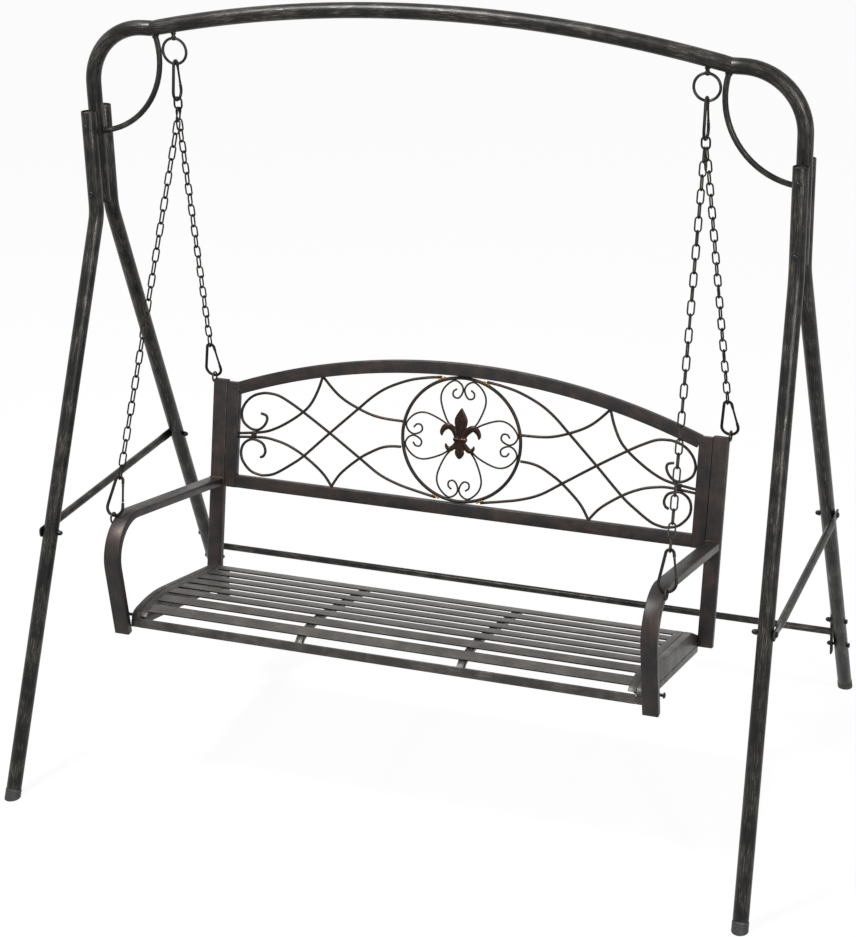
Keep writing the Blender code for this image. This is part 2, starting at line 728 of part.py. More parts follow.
def make_post(label, side, bench):
    """An upright back post with the eye for its chain hook."""
    size = (FLAT_TUBE_WIDTH, FLAT_TUBE_THICKNESS, POST_HEIGHT)
    middle = (side * (POST_INNER_X + POST_OUTER_X) / 2, FLAT_TUBE_THICKNESS / 2, POST_HEIGHT / 2)
    post = box("back_post_" + label, size, middle, BENCH_COAT, bench)
    boolean(post, make_eye(post_eye(side), bench), "UNION")


def make_eye(centre, bench):
    """A welded eye: a small ring that stands square to X."""
    loop = circle((centre.y, centre.z), EYE_INNER_RADIUS + EYE_WIRE / 2, EYE_STEPS)
    run = [(centre.x, y, z) for y, z in loop]
    return solid_wire("eye", [run], EYE_WIRE, None, bench, cyclic=True)


def eye_x(side):
    """Middle plane of the eyes, welded to the outer faces of the posts and the armrests."""
    return side * (POST_OUTER_X + EYE_WIRE / 2 - WELD_SINK)


def post_eye(side):
    """Centre of the eye on a post, in the bench frame."""
    return Vector((eye_x(side), FLAT_TUBE_THICKNESS / 2, POST_HEIGHT + POST_EYE_RISE))


def arm_bend_centre():
    """Centre of the armrest's front bend, in the bench frame's YZ plane."""
    front_y, _ = seat_curve(seat_curve_length())
    return (front_y + ARM_BEND_SETBACK, ARM_TOP_Z - FLAT_TUBE_THICKNESS / 2 - ARM_BEND_RADIUS)


def arm_eye(side):
    """Centre of the eye on an armrest's front bend, in the bench frame."""
    y, z = arm_bend_centre()
    angle = math.radians(180 - ARM_EYE_ANGLE)
    radius = ARM_BEND_RADIUS + FLAT_TUBE_THICKNESS / 2
    return Vector((eye_x(side), y + radius * math.cos(angle), z + radius * math.sin(angle)))


def arm_path():
    """Centre line of the armrest tube, from the post round the bend and down to its foot."""
    y, z = arm_bend_centre()
    bend = arc((y, z), ARM_BEND_RADIUS, 90, 180 + ARM_LEAN_BACK)
    lean = math.radians(ARM_LEAN_BACK)
    end_y, end_z = bend[-1]
    drop = end_z - ARM_BOTTOM_Z
    return [(-FIT_GAP, ARM_TOP_Z - FLAT_TUBE_THICKNESS / 2), *bend, (end_y + drop * math.tan(lean), ARM_BOTTOM_Z)]


def front_bolt_place():
    """Where the bolt joins the armrest's foot and the seat rail, in the YZ plane."""
    y, _ = seat_curve(seat_curve_length())
    return (y + FRONT_BOLT_INSET, RAIL_BOTTOM_Z + FRONT_BOLT_DROP)


def make_armrest(label, side, bench):
    """A flat tube bent down at the front, with the eye for its chain hook."""
    outline = band_outline(arm_path(), FLAT_TUBE_THICKNESS)
    arm = solid_plate("armrest_" + label, [outline], FLAT_TUBE_WIDTH, BENCH_COAT, bench)
    stand_along(arm)
    arm.location.x = side * (POST_INNER_X + POST_OUTER_X) / 2
    boolean(arm, make_eye(arm_eye(side), bench), "UNION")
    y, z = front_bolt_place()
    start = (side * (POST_INNER_X - CUT_OVERRUN), y, z)
    drill(arm, start, (side, 0, 0), FLAT_TUBE_WIDTH + CUT_OVERRUN * 2, BOLT_RADIUS + BOLT_CLEARANCE)


def seat_crown():
    """Centre height, end angle and lengths of the seat's two front curves."""
    angle = math.asin(SEAT_CROWN_REACH / SEAT_CROWN_RADIUS)
    drop = SEAT_CROWN_RADIUS * (1 - math.cos(angle))
    return angle, drop


def seat_curve_length():
    """Length along the seat's top line from the posts to the front edge."""
    angle, _ = seat_crown()
    return SEAT_FLAT_REACH + SEAT_CROWN_RADIUS * angle + SEAT_NOSE_RADIUS * (math.pi / 2 - angle)


def seat_curve(length):
    """Point on the seat's top line at a length from the posts, in the bench frame's YZ plane."""
    angle, drop = seat_crown()
    crown_length = SEAT_CROWN_RADIUS * angle
    if length <= SEAT_FLAT_REACH:
        return (-length, SEAT_TOP_Z)
    length = length - SEAT_FLAT_REACH
    if length <= crown_length:
        turn = length / SEAT_CROWN_RADIUS
        return (
            -SEAT_FLAT_REACH - SEAT_CROWN_RADIUS * math.sin(turn),
            SEAT_TOP_Z - SEAT_CROWN_RADIUS * (1 - math.cos(turn)))
    turn = min(angle + (length - crown_length) / SEAT_NOSE_RADIUS, math.pi / 2)
    start_y = -SEAT_FLAT_REACH - SEAT_CROWN_REACH
    start_z = SEAT_TOP_Z - drop
    return (
        start_y - SEAT_NOSE_RADIUS * (math.sin(turn) - math.sin(angle)),
        start_z - SEAT_NOSE_RADIUS * (math.cos(angle) - math.cos(turn)))


def seat_slope(length):
    """Angle of the seat's top line below the bench frame's horizontal."""
    angle, _ = seat_crown()
    if length <= SEAT_FLAT_REACH:
        return 0
    turn = (length - SEAT_FLAT_REACH) / SEAT_CROWN_RADIUS
    return min(turn, angle)


def make_seat_rail(label, side, bench):
    """A deep side rail that rolls over at the front, with a seam along its outer face."""
    crown_start = SEAT_FLAT_REACH
    total = seat_curve_length()
    steps = 14
    top = [(FLAT_TUBE_THICKNESS, SEAT_TOP_Z)]
    top += [seat_curve(crown_start + (total - crown_start) * step / steps) for step in range(steps + 1)]
    front_y = top[-1][0]
    outline = top + [(front_y, RAIL_BOTTOM_Z), (FLAT_TUBE_THICKNESS, RAIL_BOTTOM_Z)]
    rail = solid_plate("seat_side_rail_" + label, [outline], RAIL_THICKNESS, SEAT_COAT, bench)
    stand_along(rail)
    rail.location.x = side * (RAIL_OUTER_X + RAIL_INNER_X) / 2
    size = (RAIL_SEAM_DEPTH * 2, (FLAT_TUBE_THICKNESS - front_y) * 2, RAIL_SEAM_HEIGHT)
    seam = box("seam", size, (side * RAIL_OUTER_X, 0, 0), None, bench)
    boolean(rail, seam, "DIFFERENCE")
    y, z = front_bolt_place()
    start = (side * (RAIL_INNER_X - CUT_OVERRUN), y, z)
    drill(rail, start, (side, 0, 0), RAIL_THICKNESS + CUT_OVERRUN * 2, BOLT_RADIUS + BOLT_CLEARANCE)


def make_front_bolt(label, side, bench):
    """The bolt from the armrest's foot into the seat rail, its nut inside."""
    y, z = front_bolt_place()
    bolt("front_bolt_" + label, (side * POST_OUTER_X, y, z), (-side, 0, 0), POST_OUTER_X - RAIL_INNER_X, bench)


def slat_places():
    """Lengths along the seat's top line at which the slats' middles lie."""
    run = seat_curve_length() - SLAT_FIRST_INSET - SLAT_LAST_INSET
    return [SLAT_FIRST_INSET + run * index / (SLAT_COUNT - 1) for index in range(SLAT_COUNT)]


def make_seat_deck(bench):
    """Eight slats across the seat, welded on two bars that run under them."""
    length = (RAIL_INNER_X - FIT_GAP) * 2
    slats = bmesh.new()
    for place in slat_places():
        y, z = seat_curve(place)
        turn = Matrix.Rotation(seat_slope(place), 4, "X")
        drop = Matrix.Translation((0, 0, -SLAT_THICKNESS / 2))
        scale = Matrix.Diagonal((length, SLAT_WIDTH, SLAT_THICKNESS, 1))
        bmesh.ops.create_cube(slats, size=1, matrix=Matrix.Translation((0, y, z)) @ turn @ drop @ scale)
    mesh = bpy.data.meshes.new("seat_deck")
    slats.to_mesh(mesh)
    slats.free()
    deck = new_object("seat_deck", mesh, SEAT_COAT, bench)
    outline = support_outline()
    for side in (-1, 1):
        support = solid_plate("support", [outline], SUPPORT_WIDTH, None, bench)
        stand_along(support)
        support.location.x = side * SUPPORT_X
        boolean(deck, support, "UNION")


def support_outline():
    """Side view of a bar under the slats, from the rear slat to the front slat."""
    start = SLAT_FIRST_INSET - SLAT_WIDTH / 3
    end = seat_curve_length() - SEAT_NOSE_RADIUS
    steps = 6
    bends = [SEAT_FLAT_REACH + (end - SEAT_FLAT_REACH) * step / steps for step in range(steps + 1)]
    upper = []
    lower = []
    for place in [start, *bends]:
        y, z = seat_curve(place)
        slope = seat_slope(place)
        down = Vector((math.sin(slope), -math.cos(slope)))
        upper.append(tuple(Vector((y, z)) + down * (SLAT_THICKNESS - WELD_SINK)))
        lower.append(tuple(Vector((y, z)) + down * (SLAT_THICKNESS + SUPPORT_THICKNESS)))
    front = front_slat_y() + SLAT_THICKNESS / 2 + FIT_GAP
    tail = RAIL_BOTTOM_Z + FRONT_SLAT_HEIGHT
    return upper + [(front, tail), (front, tail - SUPPORT_THICKNESS)] + lower[::-1]


def front_slat_y():
    """Middle plane of the front slat, just behind the rolled front edge."""
    y, _ = seat_curve(seat_curve_length())
    return y + SLAT_THICKNESS / 2


def make_front_slat(bench):
    """The upright slat across the front edge of the seat."""
    size = ((RAIL_INNER_X - FIT_GAP) * 2, SLAT_THICKNESS, FRONT_SLAT_HEIGHT)
    place = (0, front_slat_y(), RAIL_BOTTOM_Z + FRONT_SLAT_HEIGHT / 2)
    box("front_slat", size, place, SEAT_COAT, bench)


def bow_height(top, x):
    """Height of the back's arched line at x, for the line whose crown is at top."""
    radius = BACK_ARC_RADIUS - (BACK_TOP_Z - top)
    return top - radius + math.sqrt(radius ** 2 - x ** 2)


def arched_outline(half_width, top, bottom):
    """Closed outline with a level foot, upright sides and an arched top."""
    steps = 20
    bow = []
    for step in range(steps + 1):
        x = half_width * (1 - 2 * step / steps)
        bow.append((x, bow_height(top, x)))
    return [*bow, (-half_width, bottom), (half_width, bottom)]


def make_back_frame(bench):
    """Arched top rail, bottom rail and two stiles round the lattice."""
    outer = arched_outline(BACK_OUTER_X, BACK_TOP_Z, OPENING_BOTTOM_Z - BACK_RAIL_HEIGHT)
    opening = arched_outline(OPENING_HALF_WIDTH, OPENING_TOP_Z, OPENING_BOTTOM_Z)
    frame = plate("back_frame", [outer, opening], BACK_DEPTH, BENCH_COAT, bench)
    stand_up(frame)
    frame.location.y = BACK_DEPTH / 2


def opening_point(across, up, side):
    """A place in the back's opening, from shares of its half width and of its height there."""
    x = side * across * OPENING_HALF_WIDTH
    height = bow_height(OPENING_TOP_Z, x) - OPENING_BOTTOM_Z
    return x, OPENING_BOTTOM_Z + up * height


def lattice_run(shares, side, stagger):
    """A lattice wire's points in the bench frame from shares of the opening."""
    depth = BACK_DEPTH / 2 + stagger * LATTICE_STAGGER
    run = []
    for across, up in shares:
        x, z = opening_point(across, up, side)
        run.append((x, depth, z))
    return run


def ring_touch(side, vertical, stagger):
    """The end of a scroll wire, lying against the medallion's ring."""
    radius = MEDALLION_RADIUS + LATTICE_WIRE / 2 + FIT_GAP
    height = MEDALLION_Z + vertical * math.sqrt(radius ** 2 - WIRE_END_X ** 2)
    return (side * WIRE_END_X, BACK_DEPTH / 2 + stagger * LATTICE_STAGGER, height)


def make_lattice(label, side, bench):
    """The crossing wires of one half of the back, welded into one piece and cut to the frame."""
    wires = (
        (UPPER_SCROLL_SHARES, 1, -1),
        (LOWER_SCROLL_SHARES, -1, 1),
        (UPPER_BRANCH_SHARES, -1, 0),
        (LOWER_BRANCH_SHARES, 1, 0),
        (UPPER_LINK_SHARES, 1, 0),
        (LOWER_LINK_SHARES, -1, 0),
    )
    lattice = None
    for shares, stagger, vertical in wires:
        points = lattice_run(shares, side, stagger)
        if vertical:
            points.append(ring_touch(side, vertical, stagger))
        piece = solid_wire("lattice_" + label, [points], LATTICE_WIRE, WIRE_COAT, bench)
        if lattice is None:
            lattice = piece
        else:
            boolean(lattice, piece, "UNION")
    x, z = opening_point(*COLLAR_SHARES, side)
    place = (x, BACK_DEPTH / 2, z)
    boolean(lattice, box("collar", (COLLAR_LENGTH, COLLAR_DEPTH, COLLAR_HEIGHT), place, None, bench), "UNION")
    room = arched_outline(OPENING_HALF_WIDTH - FIT_GAP, OPENING_TOP_Z - FIT_GAP, OPENING_BOTTOM_Z + FIT_GAP)
    trim = solid_plate("lattice_room", [room], BACK_DEPTH * 2, None, bench)
    stand_up(trim)
    trim.location.y = BACK_DEPTH / 2
    boolean(lattice, trim, "INTERSECT")
    round_room = circle((0, 0), MEDALLION_RADIUS + FIT_GAP, MEDALLION_STEPS)
    disc = solid_plate("medallion_room", [round_room], BACK_DEPTH * 2, None, bench)
    stand_up(disc)
    disc.location = (0, BACK_DEPTH / 2, MEDALLION_Z)
    boolean(lattice, disc, "DIFFERENCE")


def heart_scroll(turn, mirror):
    """Points of one medallion scroll, turned about the ring's middle."""
    reach = MEDALLION_RADIUS - MEDALLION_WIRE
    spin = Matrix.Rotation(math.radians(turn), 2)
    run = []
    for across, along in HEART_SCROLL_SHARES:
        x, z = spin @ Vector((mirror * across * reach, along * reach))
        run.append((x, BACK_DEPTH / 2 + mirror * SCROLL_STAGGER, MEDALLION_Z + z))
    return run


def scroll_depth():
    """How far the scrolls and their hub reach from the middle plane of the back."""
    return SCROLL_WIRE / 2 + SCROLL_STAGGER * 2


def make_medallion(bench):
    """The ring with four pairs of scrolls that meet behind the fleur-de-lis."""
    loop = circle((0, MEDALLION_Z), MEDALLION_RADIUS - MEDALLION_WIRE / 2, MEDALLION_STEPS)
    run = [(x, BACK_DEPTH / 2, z) for x, z in loop]
    medallion = solid_wire("medallion", [run], MEDALLION_WIRE, WIRE_COAT, bench, cyclic=True)
    hub = solid_plate("hub", [circle((0, 0), HUB_RADIUS, EYE_STEPS)], scroll_depth() * 2, None, bench)
    stand_up(hub)
    hub.location = (0, BACK_DEPTH / 2, MEDALLION_Z)
    boolean(medallion, hub, "UNION")
    for mirror in (-1, 1):
        for turn in (0, 90, 180, 270):
            scroll = solid_wire("scroll", [heart_scroll(turn, mirror)], SCROLL_WIRE, None, bench, roundness=0)
            boolean(medallion, scroll, "UNION")


def make_fleur(bench):
    """The cast fleur-de-lis in front of the place where the scrolls meet."""
    right = [(x * MEDALLION_RADIUS, z * MEDALLION_RADIUS) for x, z in FLEUR_HALF_SHARES]
    left = [(-x, z) for x, z in right[-2:0:-1]]
    fleur = solid_plate("fleur_de_lis", [right + left], FLEUR_THICKNESS, CAST_BRONZE, bench)
    stand_up(fleur)
    depth = BACK_DEPTH / 2 - scroll_depth() - FIT_GAP - FLEUR_THICKNESS / 2
    fleur.location = (0, depth, MEDALLION_Z)


def link_loop(centre, along, across, length, width):
    """Six points round one oval link's centre line, with a flat run at each end to bear on."""
    half = length / 2
    side = width / 2
    flat = side * LINK_END_SHARE
    shape = ((half, flat), (0, side), (-half, flat), (-half, -flat), (0, -side), (half, -flat))
    return [centre + along * a + across * b for a, b in shape]


def hook_outline():
    """Centre line of a pear hook from one end of its gate round to the other, wide end down."""
    low = (0, HOOK_WIDE_RADIUS)
    high = (0, HOOK_SPAN - HOOK_NARROW_RADIUS)
    lean = hook_lean()
    top_arc = arc(high, HOOK_NARROW_RADIUS, lean, 180 - lean, HOOK_STEPS)
    low_arc = arc(low, HOOK_WIDE_RADIUS, 180 - lean, 360 + lean, HOOK_STEPS)
    low_end = Vector(low_arc[-1])
    high_end = Vector(top_arc[0])
    gate_low = low_end.lerp(high_end, GATE_LOW_SHARE)
    gate_high = low_end.lerp(high_end, GATE_HIGH_SHARE)
    return [tuple(gate_high), *top_arc, *low_arc, tuple(gate_low)], gate_low, gate_high


def make_hook(name, frame, parent):
    """A pear hook and, on its own hinge, the sprung gate that closes it."""
    outline, gate_low, gate_high = hook_outline()
    body = wire(name, [[(x, 0, z) for x, z in outline]], HOOK_WIRE, CHAIN_STEEL, parent)
    body.matrix_local = frame
    radius = GATE_DIAMETER / 2
    along = (gate_high - gate_low).normalized()
    pivot = gate_low + along * (FIT_GAP + radius)
    length = (gate_high - pivot).length - FIT_GAP
    profile = [
        (0, length), (radius, length), (radius, 0), (radius * math.sqrt(1 / 2), -radius * math.sqrt(1 / 2)),
        (0, -radius)]
    gate = turned(name + "_gate", profile, 8, CHAIN_STEEL, parent)
    gate.matrix_local = frame @ frame_at((pivot.x, 0, pivot.y), (along.x, 0, along.y), (0, 1, 0))


def wire_reach(diameter, sides):
    """How far the flats of a wire lie from its centre line, in the plane of its loop."""
    return diameter / 2 * math.cos(math.pi / sides)


def seat_step(first, second):
    """Distance between two wires' centre lines where one hangs in the other, with the fit gap.

    Each wire is (diameter, sides, turn), with the angle by which its bend turns at each point.
    """
    total = FIT_GAP
    for (diameter, sides, turn), (other, other_sides, _) in ((first, second), (second, first)):
        half = math.radians(turn) / 2
        flat = other / 2 * math.sin(math.pi / other_sides)
        total += wire_reach(diameter, sides) / math.cos(half) + flat * math.tan(half)
    return total


def hook_lean():
    """Angle between the hook's straight sides and its middle line, in degrees."""
    length = HOOK_SPAN - HOOK_NARROW_RADIUS - HOOK_WIDE_RADIUS
    return math.degrees(math.asin((HOOK_WIDE_RADIUS - HOOK_NARROW_RADIUS) / length))


def hanging_wires():
    """The wires that hang in each other, as seat_step takes them."""
    return {
        "ring": (RING_WIRE, 6, 360 / RING_STEPS),
        "eye": (EYE_WIRE, 6, 360 / EYE_STEPS),
        "hook_narrow": (HOOK_WIRE, 6, (180 - 2 * hook_lean()) / HOOK_STEPS),
        "hook_wide": (HOOK_WIRE, 6, (180 + 2 * hook_lean()) / HOOK_STEPS),
        "apex": (APEX_WIRE, 6, 0),
        "link": (LINK_WIRE, 4, 0),
    }


def pivot_height():
    """Height of the swing's axis: the middle of the wire at the bottom of the rings."""
    return RING_CENTRE_Z - RING_RADIUS + RING_WIRE / 2


def apex_place(side):
    """Lower bearing point of the apex link, which carries both chains of a side."""
    wires = hanging_wires()
    hook_top = pivot_height() + seat_step(wires["ring"], wires["hook_narrow"])
    hook_bottom = hook_top - HOOK_SPAN
    link_top = hook_bottom + seat_step(wires["hook_wide"], wires["apex"])
    return Vector((side * RING_CENTRE_X, 0, link_top - APEX_LENGTH + APEX_WIRE)), hook_bottom


def make_top_hanging(label, side, swing):
    """The hook on the ring and the apex link under it."""
    bearing, hook_bottom = apex_place(side)
    place = Vector((side * RING_CENTRE_X, 0, hook_bottom - pivot_height()))
    frame = frame_at(place, (0, 0, 1), (0, 1, 0))
    make_hook("top_hook_" + label, frame, swing)
    span = APEX_LENGTH - APEX_WIRE
    centre = bearing + Vector((0, 0, span / 2 - pivot_height()))
    loop = link_loop(centre, Vector((0, 0, 1)), Vector((1, 0, 0)), span, APEX_WIDTH - APEX_WIRE)
    wire("apex_link_" + label, [loop], APEX_WIRE, CHAIN_STEEL, swing, cyclic=True)


def make_chain(label, side, end_label, end, eye, swing):
    """One chain of welded links with the pear hook at its lower end.

    The links pass through each other at right angles and bear with a small sink, so the
    chain is a single piece. The count is the odd number nearest to the named pitch, and the
    links' length closes the rest of the distance.
    """
    drop = Vector((0, 0, pivot_height()))
    bearing, _ = apex_place(side)
    start = bearing - drop + Vector((end * side * CHAIN_SIDE_STEP, 0, 0))
    along = (eye - start).normalized()
    wires = hanging_wires()
    eye_room = (EYE_INNER_RADIUS + EYE_WIRE / 2) * math.cos(math.pi / EYE_STEPS)
    hook_bottom = eye - along * (eye_room - seat_step(wires["eye"], wires["hook_wide"]))
    hook_top = hook_bottom - along * HOOK_SPAN
    first = start - along * seat_step(wires["apex"], wires["link"])
    last = hook_top + along * seat_step(wires["hook_narrow"], wires["link"])
    span = (last - first).length
    count = 2 * round((span / LINK_PITCH - 1) / 2) + 1
    bearing_step = wire_reach(LINK_WIRE, 4) * 2 - LINK_SINK
    length = (span + (count - 1) * bearing_step) / count
    sideways = (Vector((1, 0, 0)) - along * along.x).normalized()
    deep = along.cross(sideways)
    loops = ([], [])
    for index in range(count):
        centre = first + along * (length / 2 + index * (length - bearing_step))
        across = deep if index % 2 == 0 else sideways
        loops[index % 2].append(link_loop(centre, along, across, length, LINK_WIDTH - LINK_WIRE))
    name = "chain_" + end_label + "_" + label
    chain = solid_wire(name, loops[0], LINK_WIRE, CHAIN_STEEL, swing, cyclic=True, roundness=0)
    others = solid_wire("links", loops[1], LINK_WIRE, None, swing, cyclic=True, roundness=0)
    boolean(chain, others, "UNION")
    frame = frame_at(hook_bottom, -along, (1, 0, 0))
    make_hook("hook_" + end_label + "_" + label, frame, swing)


def make_bench():
    """Everything that swings about the axis through the bottom of the two rings."""
    swing = new_empty("swing_axis", (0, 0, pivot_height()))
    bench = new_empty("bench_frame", (0, BENCH_FOOT_Y, BENCH_FOOT_Z - pivot_height()), swing)
    bench.rotation_euler = (-math.radians(BENCH_TILT), 0, 0)
    to_swing = Matrix.Translation(bench.location) @ Matrix.Rotation(-math.radians(BENCH_TILT), 4, "X")
    make_back_frame(bench)
    make_medallion(bench)
    make_fleur(bench)
    make_seat_deck(bench)
    make_front_slat(bench)
    for label, side in SIDES:
        make_post(label, side, bench)
        make_armrest(label, side, bench)
        make_seat_rail(label, side, bench)
        make_front_bolt(label, side, bench)
        make_lattice(label, side, bench)
        make_top_hanging(label, side, swing)
        make_chain(label, side, "front", -1, to_swing @ arm_eye(side), swing)
        make_chain(label, side, "rear", 1, to_swing @ post_eye(side), swing)


make_stand()
make_bench()
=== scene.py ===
# %% [markdown]
# # A garden swing bench, dressed for its portrait
#
# A metal swing bench hangs on four chains from a stand of bent round tube. The solids of every
# piece are already packed as the frame. This lesson dresses them: each piece is made again with
# smooth tubes, rounded edges and real fasteners, and gets the black coat with bronze rubbed
# through that such furniture is sold in. Everything stays in metres, with the origin on the
# ground between the four feet, +X to the right, +Z up, and the bench facing -Y.

# %% Load the frame
import math
import random

import bmesh
import bpy
from mathutils import Matrix, Vector


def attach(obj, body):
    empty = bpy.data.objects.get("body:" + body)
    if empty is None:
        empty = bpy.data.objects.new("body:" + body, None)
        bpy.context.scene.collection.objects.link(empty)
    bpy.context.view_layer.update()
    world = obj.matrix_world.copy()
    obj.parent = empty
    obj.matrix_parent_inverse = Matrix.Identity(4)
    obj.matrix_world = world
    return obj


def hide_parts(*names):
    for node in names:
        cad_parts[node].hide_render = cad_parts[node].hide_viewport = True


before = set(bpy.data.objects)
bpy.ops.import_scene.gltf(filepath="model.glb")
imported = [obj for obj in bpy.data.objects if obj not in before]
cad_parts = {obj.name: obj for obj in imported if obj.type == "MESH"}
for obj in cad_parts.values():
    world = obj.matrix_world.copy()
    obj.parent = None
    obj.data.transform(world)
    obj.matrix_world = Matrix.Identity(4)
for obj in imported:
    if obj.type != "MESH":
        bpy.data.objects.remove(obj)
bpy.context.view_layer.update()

# %% [markdown]
# ## The camera
#
# The camera comes first, because each later step is judged through it. Its place was fitted to
# the photograph: about 5.7 m away, to the right of the middle and nearly 3 m up, looking down
# by 23 degrees. The photograph is an off-centre crop, so the lens is shifted sideways a little.

# %% Camera
CAMERA_PLACE = Vector((1.8913, -4.9003, 2.9808))
CAMERA_YAW = 0.3356
CAMERA_PITCH = 0.3969
CAMERA_ROLL = -0.0108
CAMERA_FOCAL_PIXELS = 2249.57
IMAGE_WIDTH = 856
IMAGE_HEIGHT = 937
IMAGE_CENTRE_X = 508
SENSOR = 36
FARTHEST_SEEN = 60


def place_camera():
    """Make the camera and turn it by yaw, pitch and roll."""
    ahead = Vector((
        -math.sin(CAMERA_YAW) * math.cos(CAMERA_PITCH),
        math.cos(CAMERA_YAW) * math.cos(CAMERA_PITCH),
        -math.sin(CAMERA_PITCH)))
    level = Vector((math.cos(CAMERA_YAW), math.sin(CAMERA_YAW), 0))
    above = level.cross(ahead)
    right = level * math.cos(CAMERA_ROLL) + above * math.sin(CAMERA_ROLL)
    up = above * math.cos(CAMERA_ROLL) - level * math.sin(CAMERA_ROLL)
    data = bpy.data.cameras.new("camera")
    data.sensor_fit = "AUTO"
    data.sensor_width = SENSOR
    data.lens = CAMERA_FOCAL_PIXELS * SENSOR / IMAGE_HEIGHT
    data.shift_x = -(IMAGE_CENTRE_X - IMAGE_WIDTH / 2) / IMAGE_HEIGHT
    data.clip_end = FARTHEST_SEEN
    camera = bpy.data.objects.new("camera", data)
    turn = Matrix((right, up, -ahead)).transposed().to_4x4()
    camera.matrix_world = Matrix.Translation(CAMERA_PLACE) @ turn
    bpy.context.scene.collection.objects.link(camera)
    bpy.context.scene.camera = camera
    return camera


camera = place_camera()
print("lens", round(camera.data.lens, 2), "mm, shift", round(camera.data.shift_x, 4))

# %% [markdown]
# ## Small helpers for nodes and colours
#
# Every material and every Geometry Nodes tree below is built with one function that adds a node,
# sets its values and links its inputs. Colours are written as sRGB hex, as a colour picker
# shows them, and turned to the linear values that the shader wants.

# %% Node and colour helpers
def linear(hex_colour):
    """Turn an sRGB hex colour such as 3a2f24 into a linear RGBA value."""
    channels = [int(hex_colour[i:i + 2], 16) / 255 for i in (0, 2, 4)]
    return (*[c / 12.92 if c <= 0.04045 else ((c + 0.055) / 1.055) ** 2.4 for c in channels], 1)


def add_node(tree, kind, settings=None, values=None, links=None):
    """Add a node, set its properties and its inputs' values, and link its inputs."""
    node = tree.nodes.new(kind)
    for name, value in (settings or {}).items():
        setattr(node, name, value)
    for name, value in (values or {}).items():
        node.inputs[name].default_value = value
    for name, source in (links or {}).items():
        tree.links.new(source, node.inputs[name])
    return node


def add_math(tree, operation, first, second=0, clamp=False):
    """A math node on two values, each a socket or a plain number, and its result."""
    node = add_node(tree, "ShaderNodeMath", {"operation": operation, "use_clamp": clamp})
    for place, value in enumerate((first, second)):
        if isinstance(value, (int, float)):
            node.inputs[place].default_value = value
        else:
            tree.links.new(value, node.inputs[place])
    return node.outputs[0]


def add_ramp(tree, source, stops):
    """A colour ramp on a value, from (position, grey value) stops."""
    ramp = add_node(tree, "ShaderNodeValToRGB", links={"Fac": source})
    elements = ramp.color_ramp.elements
    while len(elements) < len(stops):
        elements.new(0.5)
    for element, (position, grey) in zip(elements, stops):
        element.position = position
        element.color = (grey, grey, grey, 1)
    return ramp.outputs["Color"]


print("bronze as linear:", [round(c, 3) for c in linear("6b5238")])

# %% [markdown]
# ## The antique coat
#
# The steel is powder coated black, then a bronze or pewter paint is brushed on thin and mostly
# wiped off. What stays are fine streaks along each tube, patches where more was left, and
# brighter lines on the edges, where the wiping rubs hardest. So the material has three layers:
# streaks, patches and edges. The streaks need to know which way a tube runs, so each piece
# carries an attribute named flow: metres along it, across it and up from its middle. The edges
# are found by comparing the true normal with one that is rounded off over about two
# millimetres, but for the slats, whose edges start at a known distance from their middle and
# are painted near black there as shade between the slats.

# %% What every material shares
def new_material(name):
    """An empty material with its node tree."""
    material = bpy.data.materials.new(name)
    material.use_nodes = True
    return material, material.node_tree


def add_noise(tree, place, scale, detail, roughness=0.5, distortion=0):
    """Noise at a place, as a value from 0 to 1."""
    noise = add_node(tree, "ShaderNodeTexNoise", values={
        "Scale": scale, "Detail": detail, "Roughness": roughness, "Distortion": distortion},
        links={"Vector": place})
    return noise.outputs["Fac"]


def close_material(tree, colour, metallic, rough_mask, roughness, height, strength, depth):
    """Link the colour, a roughness that runs between two values with a mask, and the bump."""
    shader = tree.nodes["Principled BSDF"]
    shader.inputs["Metallic"].default_value = metallic
    rough = add_node(tree, "ShaderNodeMapRange", links={"Value": rough_mask}, values={
        "To Min": roughness[0], "To Max": roughness[1]})
    bump = add_node(tree, "ShaderNodeBump", links={"Height": height}, values={
        "Strength": strength, "Distance": depth})
    tree.links.new(colour, shader.inputs["Base Color"])
    tree.links.new(rough.outputs["Result"], shader.inputs["Roughness"])
    tree.links.new(bump.outputs["Normal"], shader.inputs["Normal"])


print("materials so far:", len(bpy.data.materials))

# %% The coat material
STREAK_LENGTH = 0.034
STREAK_WIDTH = 0.0013
PATCH_SIZE = 0.06
GRAIN_SIZE = 0.0012
EDGE_RADIUS = 0.0024
COAT_SPECULAR = 0.30
# Distance from a slat's middle past which its long edges are painted near black as shade
SLAT_PAINTED_SHADE_FROM = 0.0182
# Ramp stops, each a value and how much shows there: of the noise for streaks and patches, and
# of the likeness of the two normals for edges
STREAK_STOPS = ((0.52, 0), (0.72, 1))
PATCH_STOPS = ((0.40, 0.12), (0.68, 1))
EDGE_STOPS = ((0.86, 1), (0.985, 0))
# The bare coat is rougher than the given value, the rubbed film smoother
BARE_ROUGHER = 0.10
RUBBED_SMOOTHER = 0.08
COAT_BUMP = 0.22
COAT_BUMP_DEPTH = 0.0004


